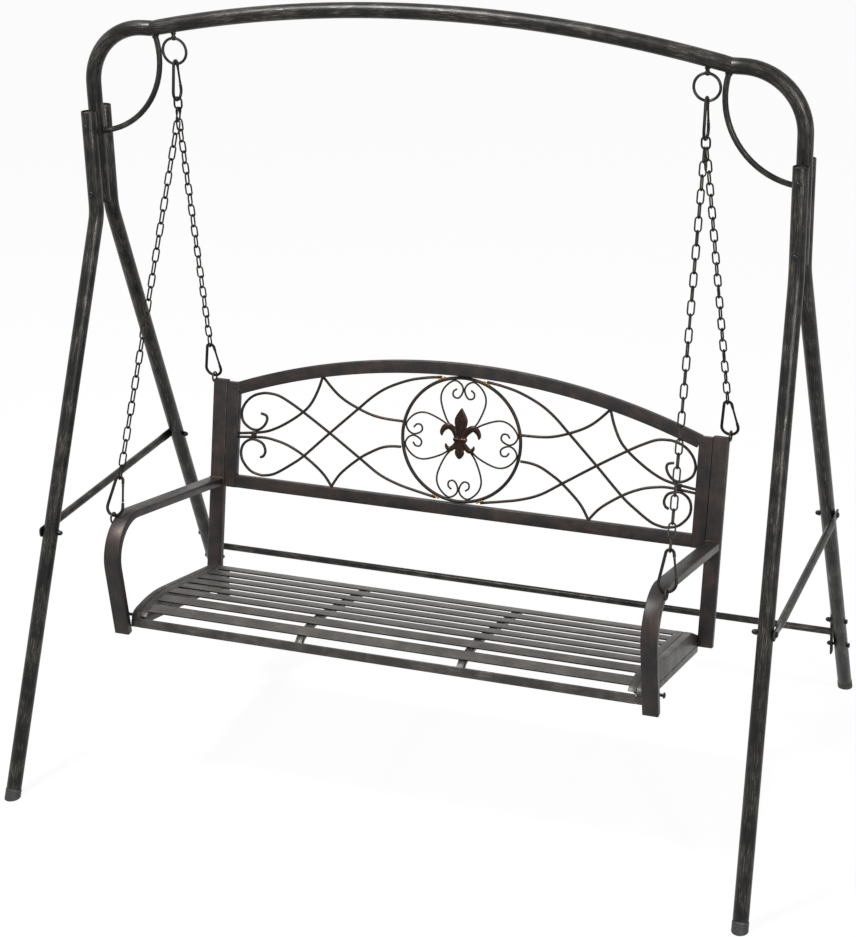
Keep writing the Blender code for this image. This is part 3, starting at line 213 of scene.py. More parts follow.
def antique_coat(name, colours, strengths, roughness, metallic, painted_shade_from=0):
    """Black coat with a second colour rubbed on, from the colours and strengths of its layers."""
    coat, rub, edge = colours
    streaks, patches, edges = strengths
    material, tree = new_material(name)
    flow = add_node(tree, "ShaderNodeAttribute", {"attribute_name": "flow"}).outputs["Vector"]
    place = add_node(tree, "ShaderNodeTexCoord").outputs["Object"]
    stretch = (1 / STREAK_LENGTH, 1 / STREAK_WIDTH, 1 / STREAK_WIDTH)
    along = add_node(tree, "ShaderNodeMapping", values={"Scale": stretch}, links={"Vector": flow})
    streak = add_noise(tree, along.outputs["Vector"], 1, 5, 0.65, 0.3)
    streak_mask = add_ramp(tree, streak, STREAK_STOPS)
    patch_mask = add_ramp(tree, add_noise(tree, place, 1 / PATCH_SIZE, 4, 0.6), PATCH_STOPS)
    rubbed = add_math(tree, "MULTIPLY", add_math(tree, "MULTIPLY", streak_mask, patch_mask), streaks)
    stain = add_math(tree, "MULTIPLY", patch_mask, patches)
    film = add_math(tree, "ADD", rubbed, stain, clamp=True)
    softened = add_node(tree, "ShaderNodeBevel", {"samples": 4}, {"Radius": EDGE_RADIUS})
    true_normal = add_node(tree, "ShaderNodeNewGeometry").outputs["Normal"]
    likeness = add_node(
        tree, "ShaderNodeVectorMath", {"operation": "DOT_PRODUCT"},
        links={0: softened.outputs["Normal"], 1: true_normal})
    sharp = add_ramp(tree, likeness.outputs["Value"], EDGE_STOPS)
    base = add_node(
        tree, "ShaderNodeMix", {"data_type": "RGBA"}, {6: linear(coat), 7: linear(rub)}, {"Factor": film})
    edge_wear_and_shade_mask = add_math(tree, "MULTIPLY", add_math(tree, "MULTIPLY", sharp, patch_mask), edges, clamp=True)
    # For the slats the edge colour is painted shade: near black on their long edges, past a distance from
    # their middle, in place of edge wear
    if painted_shade_from:
        parts = add_node(tree, "ShaderNodeSeparateXYZ", links={"Vector": flow})
        across = add_math(tree, "ABSOLUTE", parts.outputs["Y"])
        edge_wear_and_shade_mask = add_math(tree, "GREATER_THAN", across, painted_shade_from)
    colour = add_node(
        tree, "ShaderNodeMix", {"data_type": "RGBA"}, {7: linear(edge)},
        {"Factor": edge_wear_and_shade_mask, 6: base.outputs[2]})
    tree.nodes["Principled BSDF"].inputs["Specular IOR Level"].default_value = COAT_SPECULAR
    uneven = add_math(tree, "ADD", add_noise(tree, place, 1 / GRAIN_SIZE, 2), streak)
    limits = (roughness + BARE_ROUGHER, roughness - RUBBED_SMOOTHER)
    close_material(tree, colour.outputs[2], metallic, film, limits, uneven, COAT_BUMP, COAT_BUMP_DEPTH)
    return material


# Stand: black satin coat with fine pewter streaks, and hardly any colour between them
STAND_COAT = antique_coat(
    "black_pewter_powder_coat", ("131313", "9e978b", "5e584b"), (0.65, 0.03, 0.25), 0.28, 0.50)
# Posts, armrests and back frame: charcoal with a wide thin film of copper brown
BENCH_COAT = antique_coat(
    "charcoal_copper_powder_coat", ("212123", "715848", "86634a"), (0.38, 0.14, 0.5), 0.35, 0.50)
# Seat frame: charcoal with pewter streaks and edges
SEAT_COAT = antique_coat(
    "charcoal_pewter_powder_coat", ("2b2a29", "8d857b", "6d665b"), (0.45, 0.14, 0.30), 0.36, 0.40)
# Slats: a copy of the seat coat with its streaks, painted lighter as the light on their tops, and near black
# on their thin long edges as painted shade between the slats
SLAT_COAT_PAINTED_LIGHT_AND_SHADE = antique_coat(
    "pewter_slat_coat_painted_light_and_shade", ("3e3c3a", "8e867c", "0b0b0a"), (0.55, 0.12, 0), 0.36, 0.35,
    SLAT_PAINTED_SHADE_FROM)
# Scrollwork wire: thin coat on bent round bar
WIRE_COAT = antique_coat(
    "black_bronze_wire_coat", ("171514", "75583f", "6e5440"), (0.50, 0.10, 0.3), 0.34, 0.50)
# Cast ornament: near black bronze with copper on the high spots
CAST_COAT = antique_coat(
    "dark_cast_bronze", ("14110f", "76533c", "b88254"), (0.60, 0.12, 1.0), 0.30, 0.75)
# Chain and hooks: oiled black with a little bronze wear
CHAIN_COAT = antique_coat(
    "blackened_chain_steel", ("100f0e", "5f4f3c", "5c4c38"), (0.45, 0.05, 0.3), 0.34, 0.55)

# %% [markdown]
# ## Fasteners and plugs
#
# The bolts are zinc plated and blackened, so they are smoother and more even than the coat. The
# plugs in the tube ends are moulded polyethylene: no metal in it, a fine spark-eroded grain and
# a soft sheen.

# %% Bolt and plastic materials
GRAIN_LIGHTER = 2.2
GRAIN_ROUGHNESS = 0.08
GRAIN_DEPTH = 0.0002


def plain_finish(name, colour, roughness, metallic, grain_size, grain_strength):
    """An even surface with a fine grain."""
    material, tree = new_material(name)
    place = add_node(tree, "ShaderNodeTexCoord").outputs["Object"]
    grain = add_noise(tree, place, 1 / grain_size, 3)
    light = tuple(min(1, channel * GRAIN_LIGHTER) for channel in linear(colour))
    tone = add_node(
        tree, "ShaderNodeMix", {"data_type": "RGBA"}, {6: linear(colour), 7: light}, {"Factor": grain})
    limits = (roughness - GRAIN_ROUGHNESS, roughness + GRAIN_ROUGHNESS)
    close_material(tree, tone.outputs[2], metallic, grain, limits, grain, grain_strength, GRAIN_DEPTH)
    return material


BOLT_BLACK = plain_finish("blackened_zinc_bolt", "1c1d1f", 0.34, 0.8, 0.002, 0.10)
PLUG_PLASTIC = plain_finish("moulded_black_polyethylene", "171717", 0.55, 0.0, 0.0008, 0.25)
WELD_BRASS = plain_finish("brassy_weld", "6b5326", 0.38, 0.8, 0.003, 0.3)
print("materials:", [m.name for m in bpy.data.materials if m.users == 0])

# %% [markdown]
# ## The sizes
#
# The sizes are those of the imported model, so each new piece lies where its solid does. They are
# the stand's tube, its bends and its feet, the bench's flat tube, seat line and back, and the
# chain with its hooks. Only the seat departs from them: its slats are thinner here, strips carry
# their ends, and the side rails slope down behind the first slat, all within the solids' box.
# Lengths are written in millimetres times MM.

# %% Sizes of the stand
MM = 0.001
FIT_GAP = 0.3 * MM
TUBE_DIAMETER = 38 * MM
TUBE_RADIUS = TUBE_DIAMETER / 2
TUBE_WALL = 1.5 * MM
CORNER_X = 900 * MM
CORNER_BOTTOM_Z = 1407 * MM
ARCH_END_X = 727 * MM
ARCH_END_Z = 1856.5 * MM
ARCH_CENTRE_Z = 1936 * MM
CORNER_BEND_RADIUS = 148 * MM
LEG_TOP_Z = 1647 * MM
LEG_BEND_Z = 1383.5 * MM
LEG_BEND_RADIUS = 120 * MM
LEG_OFFSET_Y = TUBE_DIAMETER + FIT_GAP
FOOT_X = 950 * MM
FOOT_Y = 620.5 * MM
FOOT_CAP_LENGTH = 24 * MM
FOOT_CAP_WALL = 1.2 * MM
BRACE_DIAMETER = 14 * MM
BRACE_RADIUS = 197 * MM
BRACE_CENTRE_X = 909 * MM
BRACE_CENTRE_Z = 1786 * MM
RING_CENTRE_X = 669.7 * MM
RING_CENTRE_Z = 1804 * MM
RING_RADIUS = 35 * MM
RING_WIRE = 7 * MM
RING_NECK = 10 * MM
SIDE_BAR_Z = 632 * MM
SIDE_BAR_DIAMETER = 20 * MM
BAR_FLAT_LENGTH = 58 * MM
BAR_FLAT_HEIGHT = 26 * MM
BAR_FLAT_THICKNESS = 5 * MM
BAR_FLAT_PAST_BOLT = 16 * MM
BAR_FLAT_CLEARANCE = 0.8 * MM
CROSSBAR_Z = 207 * MM
CROSSBAR_DIAMETER = 19 * MM
CROSSBAR_PLATE_LENGTH = 130 * MM
CROSSBAR_PLATE_WIDTH = 25 * MM
CROSSBAR_PLATE_THICKNESS = 4 * MM
CROSSBAR_BOLT_SPACING = 97 * MM
BOLT_RADIUS = 4 * MM
BOLT_HEAD_RADIUS = 8 * MM
BOLT_HEAD_HEIGHT = 5 * MM
NUT_RADIUS = 7.5 * MM
NUT_HEIGHT = 7 * MM
NUT_DOME = 6 * MM
CORNER_BOLT_HEIGHTS = (1610 * MM, 1440 * MM)
SIDES = (("L", -1), ("R", 1))
ENDS = (("front", -1), ("rear", 1))
print("tube", TUBE_DIAMETER, "m, feet at", FOOT_X, FOOT_Y)

# %% Sizes of the bench
BENCH_TILT = 12.5
BENCH_FOOT_Y = 48.7 * MM
BENCH_FOOT_Z = 359 * MM
FLAT_TUBE_WIDTH = 40 * MM
FLAT_TUBE_THICKNESS = 20 * MM
FLAT_TUBE_WALL = 1.2 * MM
TUBE_CORNER = 3 * MM
POST_HEIGHT = 541 * MM
POST_OUTER_X = 705.5 * MM
POST_INNER_X = POST_OUTER_X - FLAT_TUBE_WIDTH
ARM_TOP_Z = 275 * MM
ARM_BEND_SETBACK = 27.1 * MM
ARM_BEND_RADIUS = 95 * MM
ARM_LEAN_BACK = 20
ARM_BOTTOM_Z = -37 * MM
RAIL_THICKNESS = 20 * MM
RAIL_OUTER_X = POST_INNER_X - FIT_GAP
RAIL_INNER_X = RAIL_OUTER_X - RAIL_THICKNESS
SEAT_TOP_Z = 50 * MM
RAIL_BOTTOM_Z = -20 * MM
SEAT_FLAT_REACH = 340 * MM
SEAT_CROWN_RADIUS = 420 * MM
SEAT_CROWN_REACH = 148 * MM
SEAT_NOSE_RADIUS = 28 * MM
RAIL_TAIL_HEIGHT = 24 * MM
RAIL_TAIL_REACH = 60 * MM
SLAT_COUNT = 8
SLAT_WIDTH = 38 * MM
SLAT_THICKNESS = 3.6 * MM
SLAT_FIRST_INSET = 80 * MM
SLAT_LAST_INSET = 47 * MM
SIDE_STRIP_WIDTH = 20 * MM
FRONT_SLAT_HEIGHT = 24 * MM
SUPPORT_X = 210 * MM
SUPPORT_WIDTH = 20 * MM
SUPPORT_THICKNESS = 12 * MM
FRONT_BOLT_INSET = 26 * MM
FRONT_BOLT_DROP = 24 * MM
BACK_OUTER_X = POST_INNER_X - FIT_GAP
STILE_WIDTH = 35.2 * MM
OPENING_HALF_WIDTH = BACK_OUTER_X - STILE_WIDTH
BACK_RAIL_HEIGHT = 33.8 * MM
BACK_TOP_Z = 654 * MM
BACK_ARC_RADIUS = 1818 * MM
OPENING_BOTTOM_Z = 286.3 * MM
BACK_DEPTH = 20 * MM
OPENING_TOP_Z = BACK_TOP_Z - BACK_RAIL_HEIGHT
OPENING_HEIGHT = OPENING_TOP_Z - OPENING_BOTTOM_Z
MEDALLION_Z = OPENING_BOTTOM_Z + OPENING_HEIGHT / 2
MEDALLION_RADIUS = OPENING_HEIGHT / 2 - FIT_GAP
MEDALLION_WIRE = 9 * MM
SCROLL_WIRE = 5 * MM
LATTICE_WIRE = 7.4 * MM
LATTICE_STAGGER = 1 * MM
SCROLL_STAGGER = 0.4 * MM
WIRE_END_X = 62 * MM
FLEUR_THICKNESS = 9 * MM
print("back opening", round(OPENING_HEIGHT, 4), "m high, medallion radius", round(MEDALLION_RADIUS, 4))

# %% Sizes of the chains, hooks and eyes
LINK_WIRE = 4.5 * MM
LINK_WIDTH = 20 * MM
LINK_PITCH = 31 * MM
LINK_SINK = 0.4 * MM
APEX_WIRE = 5 * MM
APEX_WIDTH = 25 * MM
APEX_LENGTH = 35 * MM
CHAIN_SIDE_STEP = 2.6 * MM
HOOK_WIRE = 8 * MM
HOOK_SPAN = 97 * MM
HOOK_WIDE_RADIUS = 21 * MM
HOOK_NARROW_RADIUS = 10 * MM
HOOK_STEPS = 6
GATE_DIAMETER = 6 * MM
GATE_LOW_SHARE = 0.16
GATE_HIGH_SHARE = 0.86
EYE_WIRE = 5 * MM
EYE_INNER_RADIUS = 10 * MM
EYE_STEPS = 16
RING_STEPS = 20
ARM_EYE_ANGLE = 58
POST_EYE_RISE = 4 * MM
WELD_SINK = 0.7 * MM
print("hook", HOOK_SPAN, "m from wire to wire")

# %% [markdown]
# ## One tool for tube, bar and wire: the sweep
#
# Nearly every piece here is a tube, a bar or a wire that follows a line: a section is carried
# along a path. Blender's curve objects can do that with a bevel, but a mesh built ring by ring
# gives more: open tube ends with a wall, rounded cut edges, a bar that is hammered flat at its
# ends, and the flow attribute that the coat's streaks need. All paths lie in one plane, so the
# plane's normal keeps the section from twisting.

# %% Points on arcs and smooth lines
ARC_STEP = 5
SMOOTH_STEPS = 6


def arc(centre, radius, start, end, steps=None):
    """Points on an arc in a plane, angles in degrees."""
    steps = steps or max(2, round(abs(end - start) / ARC_STEP))
    angles = [math.radians(start + (end - start) * step / steps) for step in range(steps + 1)]
    return [(centre[0] + radius * math.cos(a), centre[1] + radius * math.sin(a)) for a in angles]


def circle(centre, radius, steps):
    """Points round a full circle in a plane."""
    return arc(centre, radius, 0, 360, steps)[:-1]


def rounded_path(corners, radius):
    """A path through corners, each inner one replaced by an arc."""
    corners = [Vector(corner) for corner in corners]
    path = [corners[0]]
    for before, corner, after in zip(corners, corners[1:], corners[2:]):
        back = (before - corner).normalized()
        ahead = (after - corner).normalized()
        half = back.angle(ahead) / 2
        setback = radius / math.tan(half)
        centre = corner + (back + ahead).normalized() * radius / math.sin(half)
        first = corner + back * setback - centre
        last = corner + ahead * setback - centre
        turn = first.angle(last)
        steps = max(3, round(math.degrees(turn) / ARC_STEP))
        for step in range(steps + 1):
            share = step / steps
            mixed = first * math.sin((1 - share) * turn) + last * math.sin(share * turn)
            path.append(centre + mixed / math.sin(turn))
    path.append(corners[-1])
    return path


def smooth_path(points, steps=SMOOTH_STEPS):
    """A smooth line through all the points, with straight runs kept at its two ends."""
    points = [Vector(point) for point in points]
    run = [points[0] * 2 - points[1], *points, points[-1] * 2 - points[-2]]
    path = []
    for before, start, end, after in zip(run, run[1:], run[2:], run[3:]):
        for step in range(steps):
            t = step / steps
            path.append((
                start * 2 + (end - before) * t
                + (before * 2 - start * 5 + end * 4 - after) * t ** 2
                + (start * 3 - before - end * 3 + after) * t ** 3) / 2)
    path.append(points[-1])
    return path


print("an arc of 90 degrees has", len(arc((0, 0), 1, 0, 90)), "points")

# %% Sections
def round_section(radius, sides=24):
    """A circle, seen from the path's far end."""
    return circle((0, 0), radius, sides)


def box_section(width, height, corner, steps=3):
    """A rounded rectangle: width lies in the path's plane, height along its normal."""
    points = []
    for across, up, start in ((1, 1, 0), (-1, 1, 90), (-1, -1, 180), (1, -1, 270)):
        centre = (across * (width / 2 - corner), up * (height / 2 - corner))
        points += arc(centre, corner, start, start + 90, steps)
    return points


def pressed_section(width, height, power, sides=24):
    """A shape between a diamond, an ellipse and a box: powers of 1, 2 and more."""
    points = []
    for x, y in circle((0, 0), 1, sides):
        across = math.copysign(abs(x) ** (2 / power), x)
        up = math.copysign(abs(y) ** (2 / power), y)
        points.append((across * width / 2, up * height / 2))
    return points


def shrunk(section, inset):
    """A section drawn in towards its middle."""
    result = []
    for x, y in section:
        share = max(0, 1 - inset / max(math.hypot(x, y), inset))
        result.append((x * share, y * share))
    return result


flat_tube = box_section(FLAT_TUBE_WIDTH, FLAT_TUBE_THICKNESS, TUBE_CORNER)
print("flat tube section:", len(flat_tube), "points")

# %% The sweep
CUT_EDGE = 0.6 * MM
CUT_EDGE_MIDDLE = 0.3 * CUT_EDGE
BORE_DEPTH = 7 * MM


def new_body():
    """An empty bmesh with the flow attribute."""
    body = bmesh.new()
    body.verts.layers.float_vector.new("flow")
    return body


def path_tangents(path, cyclic):
    """The direction of a path at each of its points."""
    count = len(path)
    tangents = []
    for index in range(count):
        before = path[index - 1] if index or cyclic else path[0]
        after = path[(index + 1) % count] if index < count - 1 or cyclic else path[-1]
        back = (path[index] - before).normalized()
        ahead = (after - path[index]).normalized()
        tangents.append((back + ahead).normalized())
    return tangents


def end_rings(point, tangent, section, style, wall):
    """Rings that finish an end, from its outside to the place where the full section starts."""
    rings = [
        (point, shrunk(section, CUT_EDGE)),
        (point + tangent * CUT_EDGE_MIDDLE, shrunk(section, CUT_EDGE_MIDDLE)),
        (point + tangent * CUT_EDGE, section)]
    if style == "open":
        bore = shrunk(section, wall)
        return [(point + tangent * BORE_DEPTH, bore), (point, bore), *rings]
    return rings


def sweep(body, path, section, normal, cyclic=False, ends=("flat", "flat"), tangents=None, wall=TUBE_WALL):
    """Add one closed swept shape; section is one list of points, or one for each path point."""
    path = [Vector(point) for point in path]
    normal = Vector(normal).normalized()
    directions = path_tangents(path, cyclic)
    for index, direction in (tangents or {}).items():
        directions[index] = Vector(direction).normalized()
    sections = section if isinstance(section[0], list) else [section] * len(path)
    rings = [(point, outline, direction) for point, outline, direction in zip(path, sections, directions)]
    if not cyclic:
        first = end_rings(path[0], directions[0], sections[0], ends[0], wall)
        last = end_rings(path[-1], -directions[-1], sections[-1], ends[1], wall)
        rings = [(point, outline, directions[0]) for point, outline in first] + rings[1:-1]
        rings += [(point, outline, directions[-1]) for point, outline in last[::-1]]
    flow = body.verts.layers.float_vector["flow"]
    loops = []
    along = 0
    for index, (point, outline, direction) in enumerate(rings):
        if index:
            along += (point - rings[index - 1][0]).length
        side = normal.cross(direction).normalized()
        up = direction.cross(side)
        loop = []
        for across, rise in outline:
            vertex = body.verts.new(point + side * across + up * rise)
            vertex[flow] = (along, across, rise)
            loop.append(vertex)
        loops.append(loop)
    pairs = list(zip(loops, loops[1:]))
    if cyclic:
        pairs.append((loops[-1], loops[0]))
    for near, far in pairs:
        for index in range(len(near)):
            step = (index + 1) % len(near)
            body.faces.new((near[index], near[step], far[step], far[index]))
    if not cyclic:
        body.faces.new(loops[0][::-1])
        body.faces.new(loops[-1])


print("cut edges are rounded by", CUT_EDGE, "m")

# %% Other shapes: slabs, turned parts and weld beads
BEVEL_ANGLE = 30


def slab(body, outline, thickness, place, edge):
    """Extrude an outline given in a frame's XY plane along its Z, with rounded edges."""
    part = new_body()
    rows = [[part.verts.new((x, y, up * thickness / 2)) for x, y in outline] for up in (-1, 1)]
    part.faces.new(rows[0][::-1])
    part.faces.new(rows[1])
    for index in range(len(outline)):
        step = (index + 1) % len(outline)
        part.faces.new((rows[0][index], rows[0][step], rows[1][step], rows[1][index]))
    bmesh.ops.recalc_face_normals(part, faces=part.faces)
    sharp = [e for e in part.edges if e.calc_face_angle() > math.radians(BEVEL_ANGLE)]
    bmesh.ops.bevel(part, geom=sharp, offset=edge, segments=2, profile=0.5, affect="EDGES")
    flow = part.verts.layers.float_vector["flow"]
    for vertex in part.verts:
        vertex[flow] = vertex.co
    add_body(body, part, place)


def lathe(body, profile, place, sides=24):
    """Turn a profile of (radius, height) points about a frame's Z axis, top to bottom."""
    part = new_body()
    flow = part.verts.layers.float_vector["flow"]
    loops = []
    for radius, height in profile:
        points = circle((0, 0), radius, sides) if radius > 0 else [(0, 0)]
        loop = [part.verts.new((x, y, height)) for x, y in points]
        for vertex in loop:
            vertex[flow] = (height, vertex.co.x, vertex.co.y)
        loops.append(loop)
    for upper, lower in zip(loops, loops[1:]):
        for index in range(sides):
            step = (index + 1) % sides
            corners = [upper[index % len(upper)], lower[index % len(lower)]]
            if len(lower) > 1:
                corners.append(lower[step])
            if len(upper) > 1:
                corners.append(upper[step])
            part.faces.new(corners)
    bmesh.ops.recalc_face_normals(part, faces=part.faces)
    add_body(body, part, place)


def add_body(body, part, place):
    """Move one bmesh into another, with a matrix."""
    part.transform(place)
    mesh = to_mesh("part", part)
    body.from_mesh(mesh)
    bpy.data.meshes.remove(mesh)


def to_mesh(name, body):
    """Turn a bmesh into a mesh."""
    mesh = bpy.data.meshes.new(name)
    body.to_mesh(mesh)
    body.free()
    return mesh


def frame_at(start, direction, side):
    """A right-handed frame with Z along the direction."""
    along = Vector(direction).normalized()
    across = (Vector(side) - along * Vector(side).dot(along)).normalized()
    up = along.cross(across)
    rows = Matrix((across, up, along)).transposed().to_4x4()
    return Matrix.Translation(Vector(start)) @ rows


BEAD_WIRE = 3.6 * MM
BEAD_STEPS = 28
BEAD_THINNEST = 0.8
BEAD_THICKEST = 1.15
BEAD_SIDE = Vector((0.1, 1, 0.2))
# A weld spot is a ball one metre wide, scaled to these shares of its size and made lumpy
SPOT_RADIUS = 0.5
SPOT_SHARES = (1.25, 0.95, 1)
SPOT_LUMP = 0.03
bead_random = random.Random(7)


def weld_bead(body, loop, normal, wire=BEAD_WIRE):
    """A lumpy bead of weld along a closed loop of points."""
    sections = []
    for _ in loop:
        size = wire * bead_random.uniform(BEAD_THINNEST, BEAD_THICKEST)
        sections.append(round_section(size / 2, 8))
    sweep(body, loop, sections, normal, cyclic=True)


def ring_bead(body, centre, direction, radius, wire=BEAD_WIRE):
    """A bead round a bar that stands on a surface."""
    place = frame_at(centre, direction, BEAD_SIDE)
    loop = [place @ Vector((x, y, 0)) for x, y in circle((0, 0), radius, BEAD_STEPS)]
    weld_bead(body, loop, direction, wire)


def weld_spot(body, centre, size):
    """A small flattened blob where two wires are welded."""
    part = new_body()
    scale = Matrix.Diagonal((*[size * share for share in SPOT_SHARES], 1))
    bmesh.ops.create_icosphere(part, subdivisions=3, radius=SPOT_RADIUS, matrix=scale)
    for vertex in part.verts:
        vertex.co += vertex.co.normalized() * bead_random.uniform(-SPOT_LUMP, SPOT_LUMP) * size
    add_body(body, part, Matrix.Translation(Vector(centre)))


print("a weld bead is about", BEAD_WIRE, "m thick")

# %% Finish a piece
SHARP_ANGLE = 38
LEAN_BACK = Matrix.Rotation(-math.radians(BENCH_TILT), 4, "X")
BENCH = Matrix.Translation((0, BENCH_FOOT_Y, BENCH_FOOT_Z)) @ LEAN_BACK


def shade(mesh):
    """Smooth faces with crisp edges where they meet at more than the sharp angle."""
    mesh.shade_smooth()
    mesh.set_sharp_from_angle(angle=math.radians(SHARP_ANGLE))


def finish_piece(name, mesh, material, body_name, nodes=()):
    """Put a mesh in the scene as a piece that rides on a body and stands for its nodes."""
    mesh.materials.clear()
    mesh.materials.append(material)
    shade(mesh)
    piece = bpy.data.objects.new(name, mesh)
    bpy.context.scene.collection.objects.link(piece)
    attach(piece, body_name)
    if nodes:
        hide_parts(*nodes)
    return piece


def piece_from(name, body, material, body_name, nodes=(), place=None):
    """Turn a bmesh into a piece, moved by a matrix where one is given."""
    if place is not None:
        body.transform(place)
    return finish_piece(name, to_mesh(name, body), material, body_name, nodes)


def stand_piece(name, body, material=STAND_COAT, nodes=None):
    """A piece of the stand, for the node of the same name if no others are given."""
    nodes = [name] if nodes is None else nodes
    return piece_from("stand_" + name, body, material, "stand", nodes)


def bench_piece(name, body, material, nodes=None, place=BENCH):
    """A piece of the leaning bench, for the node of the same name if no others are given."""
    nodes = [name] if nodes is None else nodes
    return piece_from("bench_" + name, body, material, "bench", nodes, place)


print("bench frame leans back by", BENCH_TILT, "degrees")

# %% [markdown]
# ## The stand's tubes
#
# The stand is round steel tube of 38 mm. A bowed tube runs across the top; at each end a bent
# corner tube is pushed onto its swaged end and comes down between the two legs, where two long
# bolts go through all three. The legs are cut square at the top and closed with plastic plugs,
# bend outwards below the joint, and stand on plastic caps. Each tube is one sweep, and the cut
# ends are left open with a wall so that the plugs sit in them as they do on the real one.

# %% Lines of the stand
UP = Vector((0, 0, 1))
FRONTWARD = Vector((0, -1, 0))
REARWARD = Vector((0, 1, 0))
SIDEWAYS = Vector((1, 0, 0))
TUBE_SIDES = 32
tube_round = round_section(TUBE_RADIUS, TUBE_SIDES)


def leg_axis(side, end):
    """Corner points of a leg's centre line, from the top to the floor."""
    top = Vector((side * CORNER_X, end * LEG_OFFSET_Y, LEG_TOP_Z))
    bend = Vector((side * CORNER_X, end * LEG_OFFSET_Y, LEG_BEND_Z))
    foot = Vector((side * FOOT_X, end * FOOT_Y, 0))
    return top, bend, foot


def leg_point(side, end, height):
    """The point of a leg's centre line at a height below its bend."""
    _, bend, foot = leg_axis(side, end)
    return foot.lerp(bend, height / LEG_BEND_Z)


def arch_path():
    """Centre line of the top tube."""
    rise = ARCH_CENTRE_Z - ARCH_END_Z
    radius = (ARCH_END_X ** 2 + rise ** 2) / (2 * rise)
    half = math.degrees(math.asin(ARCH_END_X / radius))
    bow = arc((0, ARCH_CENTRE_Z - radius), radius, 90 + half, 90 - half, 60)
    return [Vector((x, 0, z)) for x, z in bow]


def corner_path(side):
    """Centre line of a corner tube, from the arch down."""
    start = Vector((side * (ARCH_END_X + FIT_GAP), 0, ARCH_END_Z))
    corner = Vector((side * CORNER_X, 0, ARCH_END_Z))
    bottom = Vector((side * CORNER_X, 0, CORNER_BOTTOM_Z))
    return rounded_path((start, corner, bottom), CORNER_BEND_RADIUS)


print("the arch rises", round(ARCH_CENTRE_Z - ARCH_END_Z, 4), "m in its middle")

# %% The top arch and the corner tubes
body = new_body()
sweep(body, arch_path(), tube_round, FRONTWARD, tangents={0: SIDEWAYS, -1: SIDEWAYS})
stand_piece("top_arch", body, nodes=["top_arch_tube"])
for label, side in SIDES:
    body = new_body()
    sweep(body, corner_path(side), tube_round, FRONTWARD, ends=("flat", "open"))
    stand_piece("corner_tube_" + label, body)
print("corner bend points:", len(corner_path(1)))

# %% The legs and the plugs in their tops
PLUG_DEPTH = 4 * MM
PLUG_DOME = 1.4 * MM
# The plug's top line: shares of the tube's inner radius and of the dome's height
PLUG_SHARES = ((0, 1), (0.6, 0.7), (0.9, 0), (1, -1))
for label, side in SIDES:
    for end_label, end in ENDS:
        top, bend, foot = leg_axis(side, end)
        stop = foot + (bend - foot).normalized() * FOOT_CAP_LENGTH
        normal = (bend - top).cross(foot - bend)
        body = new_body()
        path = rounded_path((top, bend, stop), LEG_BEND_RADIUS)
        sweep(body, path, tube_round, normal, ends=("open", "flat"))
        stand_piece("leg_" + end_label + "_" + label, body)
        plug = new_body()
        inside = TUBE_RADIUS - TUBE_WALL
        profile = [(inside * wide, PLUG_DOME * tall - PLUG_DEPTH) for wide, tall in PLUG_SHARES]
        profile += [(inside, -BORE_DEPTH), (0, -BORE_DEPTH)]
        lathe(plug, profile, Matrix.Translation(top))
        stand_piece("leg_plug_" + end_label + "_" + label, plug, PLUG_PLASTIC, ())
print("leg from", tuple(round(c, 3) for c in top), "to", tuple(round(c, 3) for c in stop))

# %% [markdown]
# ### The feet
#
# A moulded cap is pushed over the end of each leg. The leg slopes, so the cap is turned as a
# round part about the leg's line and then cut level with the floor.

# %% Foot caps
CAP_GROOVE = 0.7 * MM
CAP_GROOVE_SHARES = (0.62, 0.36)
CAP_ROUNDING = 3 * MM
CAP_CORNER_IN = 0.9 * MM
CAP_CORNER_DOWN = 0.8 * MM
for label, side in SIDES:
    for end_label, end in ENDS:
        _, bend, foot = leg_axis(side, end)
        radius = TUBE_RADIUS + FOOT_CAP_WALL
        top = FOOT_CAP_LENGTH - FIT_GAP
        profile = [
            (0, top), (radius - CAP_ROUNDING, top), (radius - CAP_CORNER_IN, top - CAP_CORNER_DOWN),
            (radius, top - CAP_ROUNDING)]
        for share in CAP_GROOVE_SHARES:
            groove = top * share
            profile += [
                (radius, groove + CAP_GROOVE * 2), (radius - CAP_GROOVE, groove + CAP_GROOVE),
                (radius - CAP_GROOVE, groove - CAP_GROOVE), (radius, groove - CAP_GROOVE * 2)]
        profile += [(radius, -TUBE_DIAMETER), (0, -TUBE_DIAMETER)]
        body = new_body()
        lathe(body, profile, frame_at(foot, bend - foot, SIDEWAYS), TUBE_SIDES)
        every = list(body.verts) + list(body.edges) + list(body.faces)
        cut = bmesh.ops.bisect_plane(
            body, geom=every, plane_co=(0, 0, 0), plane_no=(0, 0, -1), clear_outer=True)
        rim = [e for e in cut["geom_cut"] if isinstance(e, bmesh.types.BMEdge)]
        bmesh.ops.edgeloop_fill(body, edges=rim)
        bmesh.ops.recalc_face_normals(body, faces=body.faces)
        stand_piece("foot_cap_" + end_label + "_" + label, body, PLUG_PLASTIC)
print("foot caps cut level at the floor")

# %% [markdown]
# ## Braces, hanger rings and weld beads
#
# A round bar of 14 mm bows between the arch and each corner tube. The ring that carries a chain
# hook hangs from the arch on a short neck. Both are welded, and the beads are what tells the
# eye that they are one with the tube: a lumpy ring swept round each foot of the bar.

# %% Braces and rings
FINE_STEP = 2 * MM
BEAD_LIFT = 0.4 * MM
RING_STEPS_SHOWN = 56
NECK_SINK = 3 * MM
NECK_BEAD_DROP = 0.5 * MM
NECK_BEAD_LIFT = 0.3 * MM
RING_SPOT_RISE = RING_WIRE * 0.55
RING_SPOT_SIZE = RING_NECK * 1.25


def leaving_point(path, line, radius):
    """Where a path comes out of a tube that runs along a line: place and direction."""
    for start, ahead in zip(path, path[1:]):
        nearest = min((start - point).length for point in line)
        if nearest > radius:
            return start, (ahead - start).normalized()
    return path[-1], (path[-1] - path[-2]).normalized()


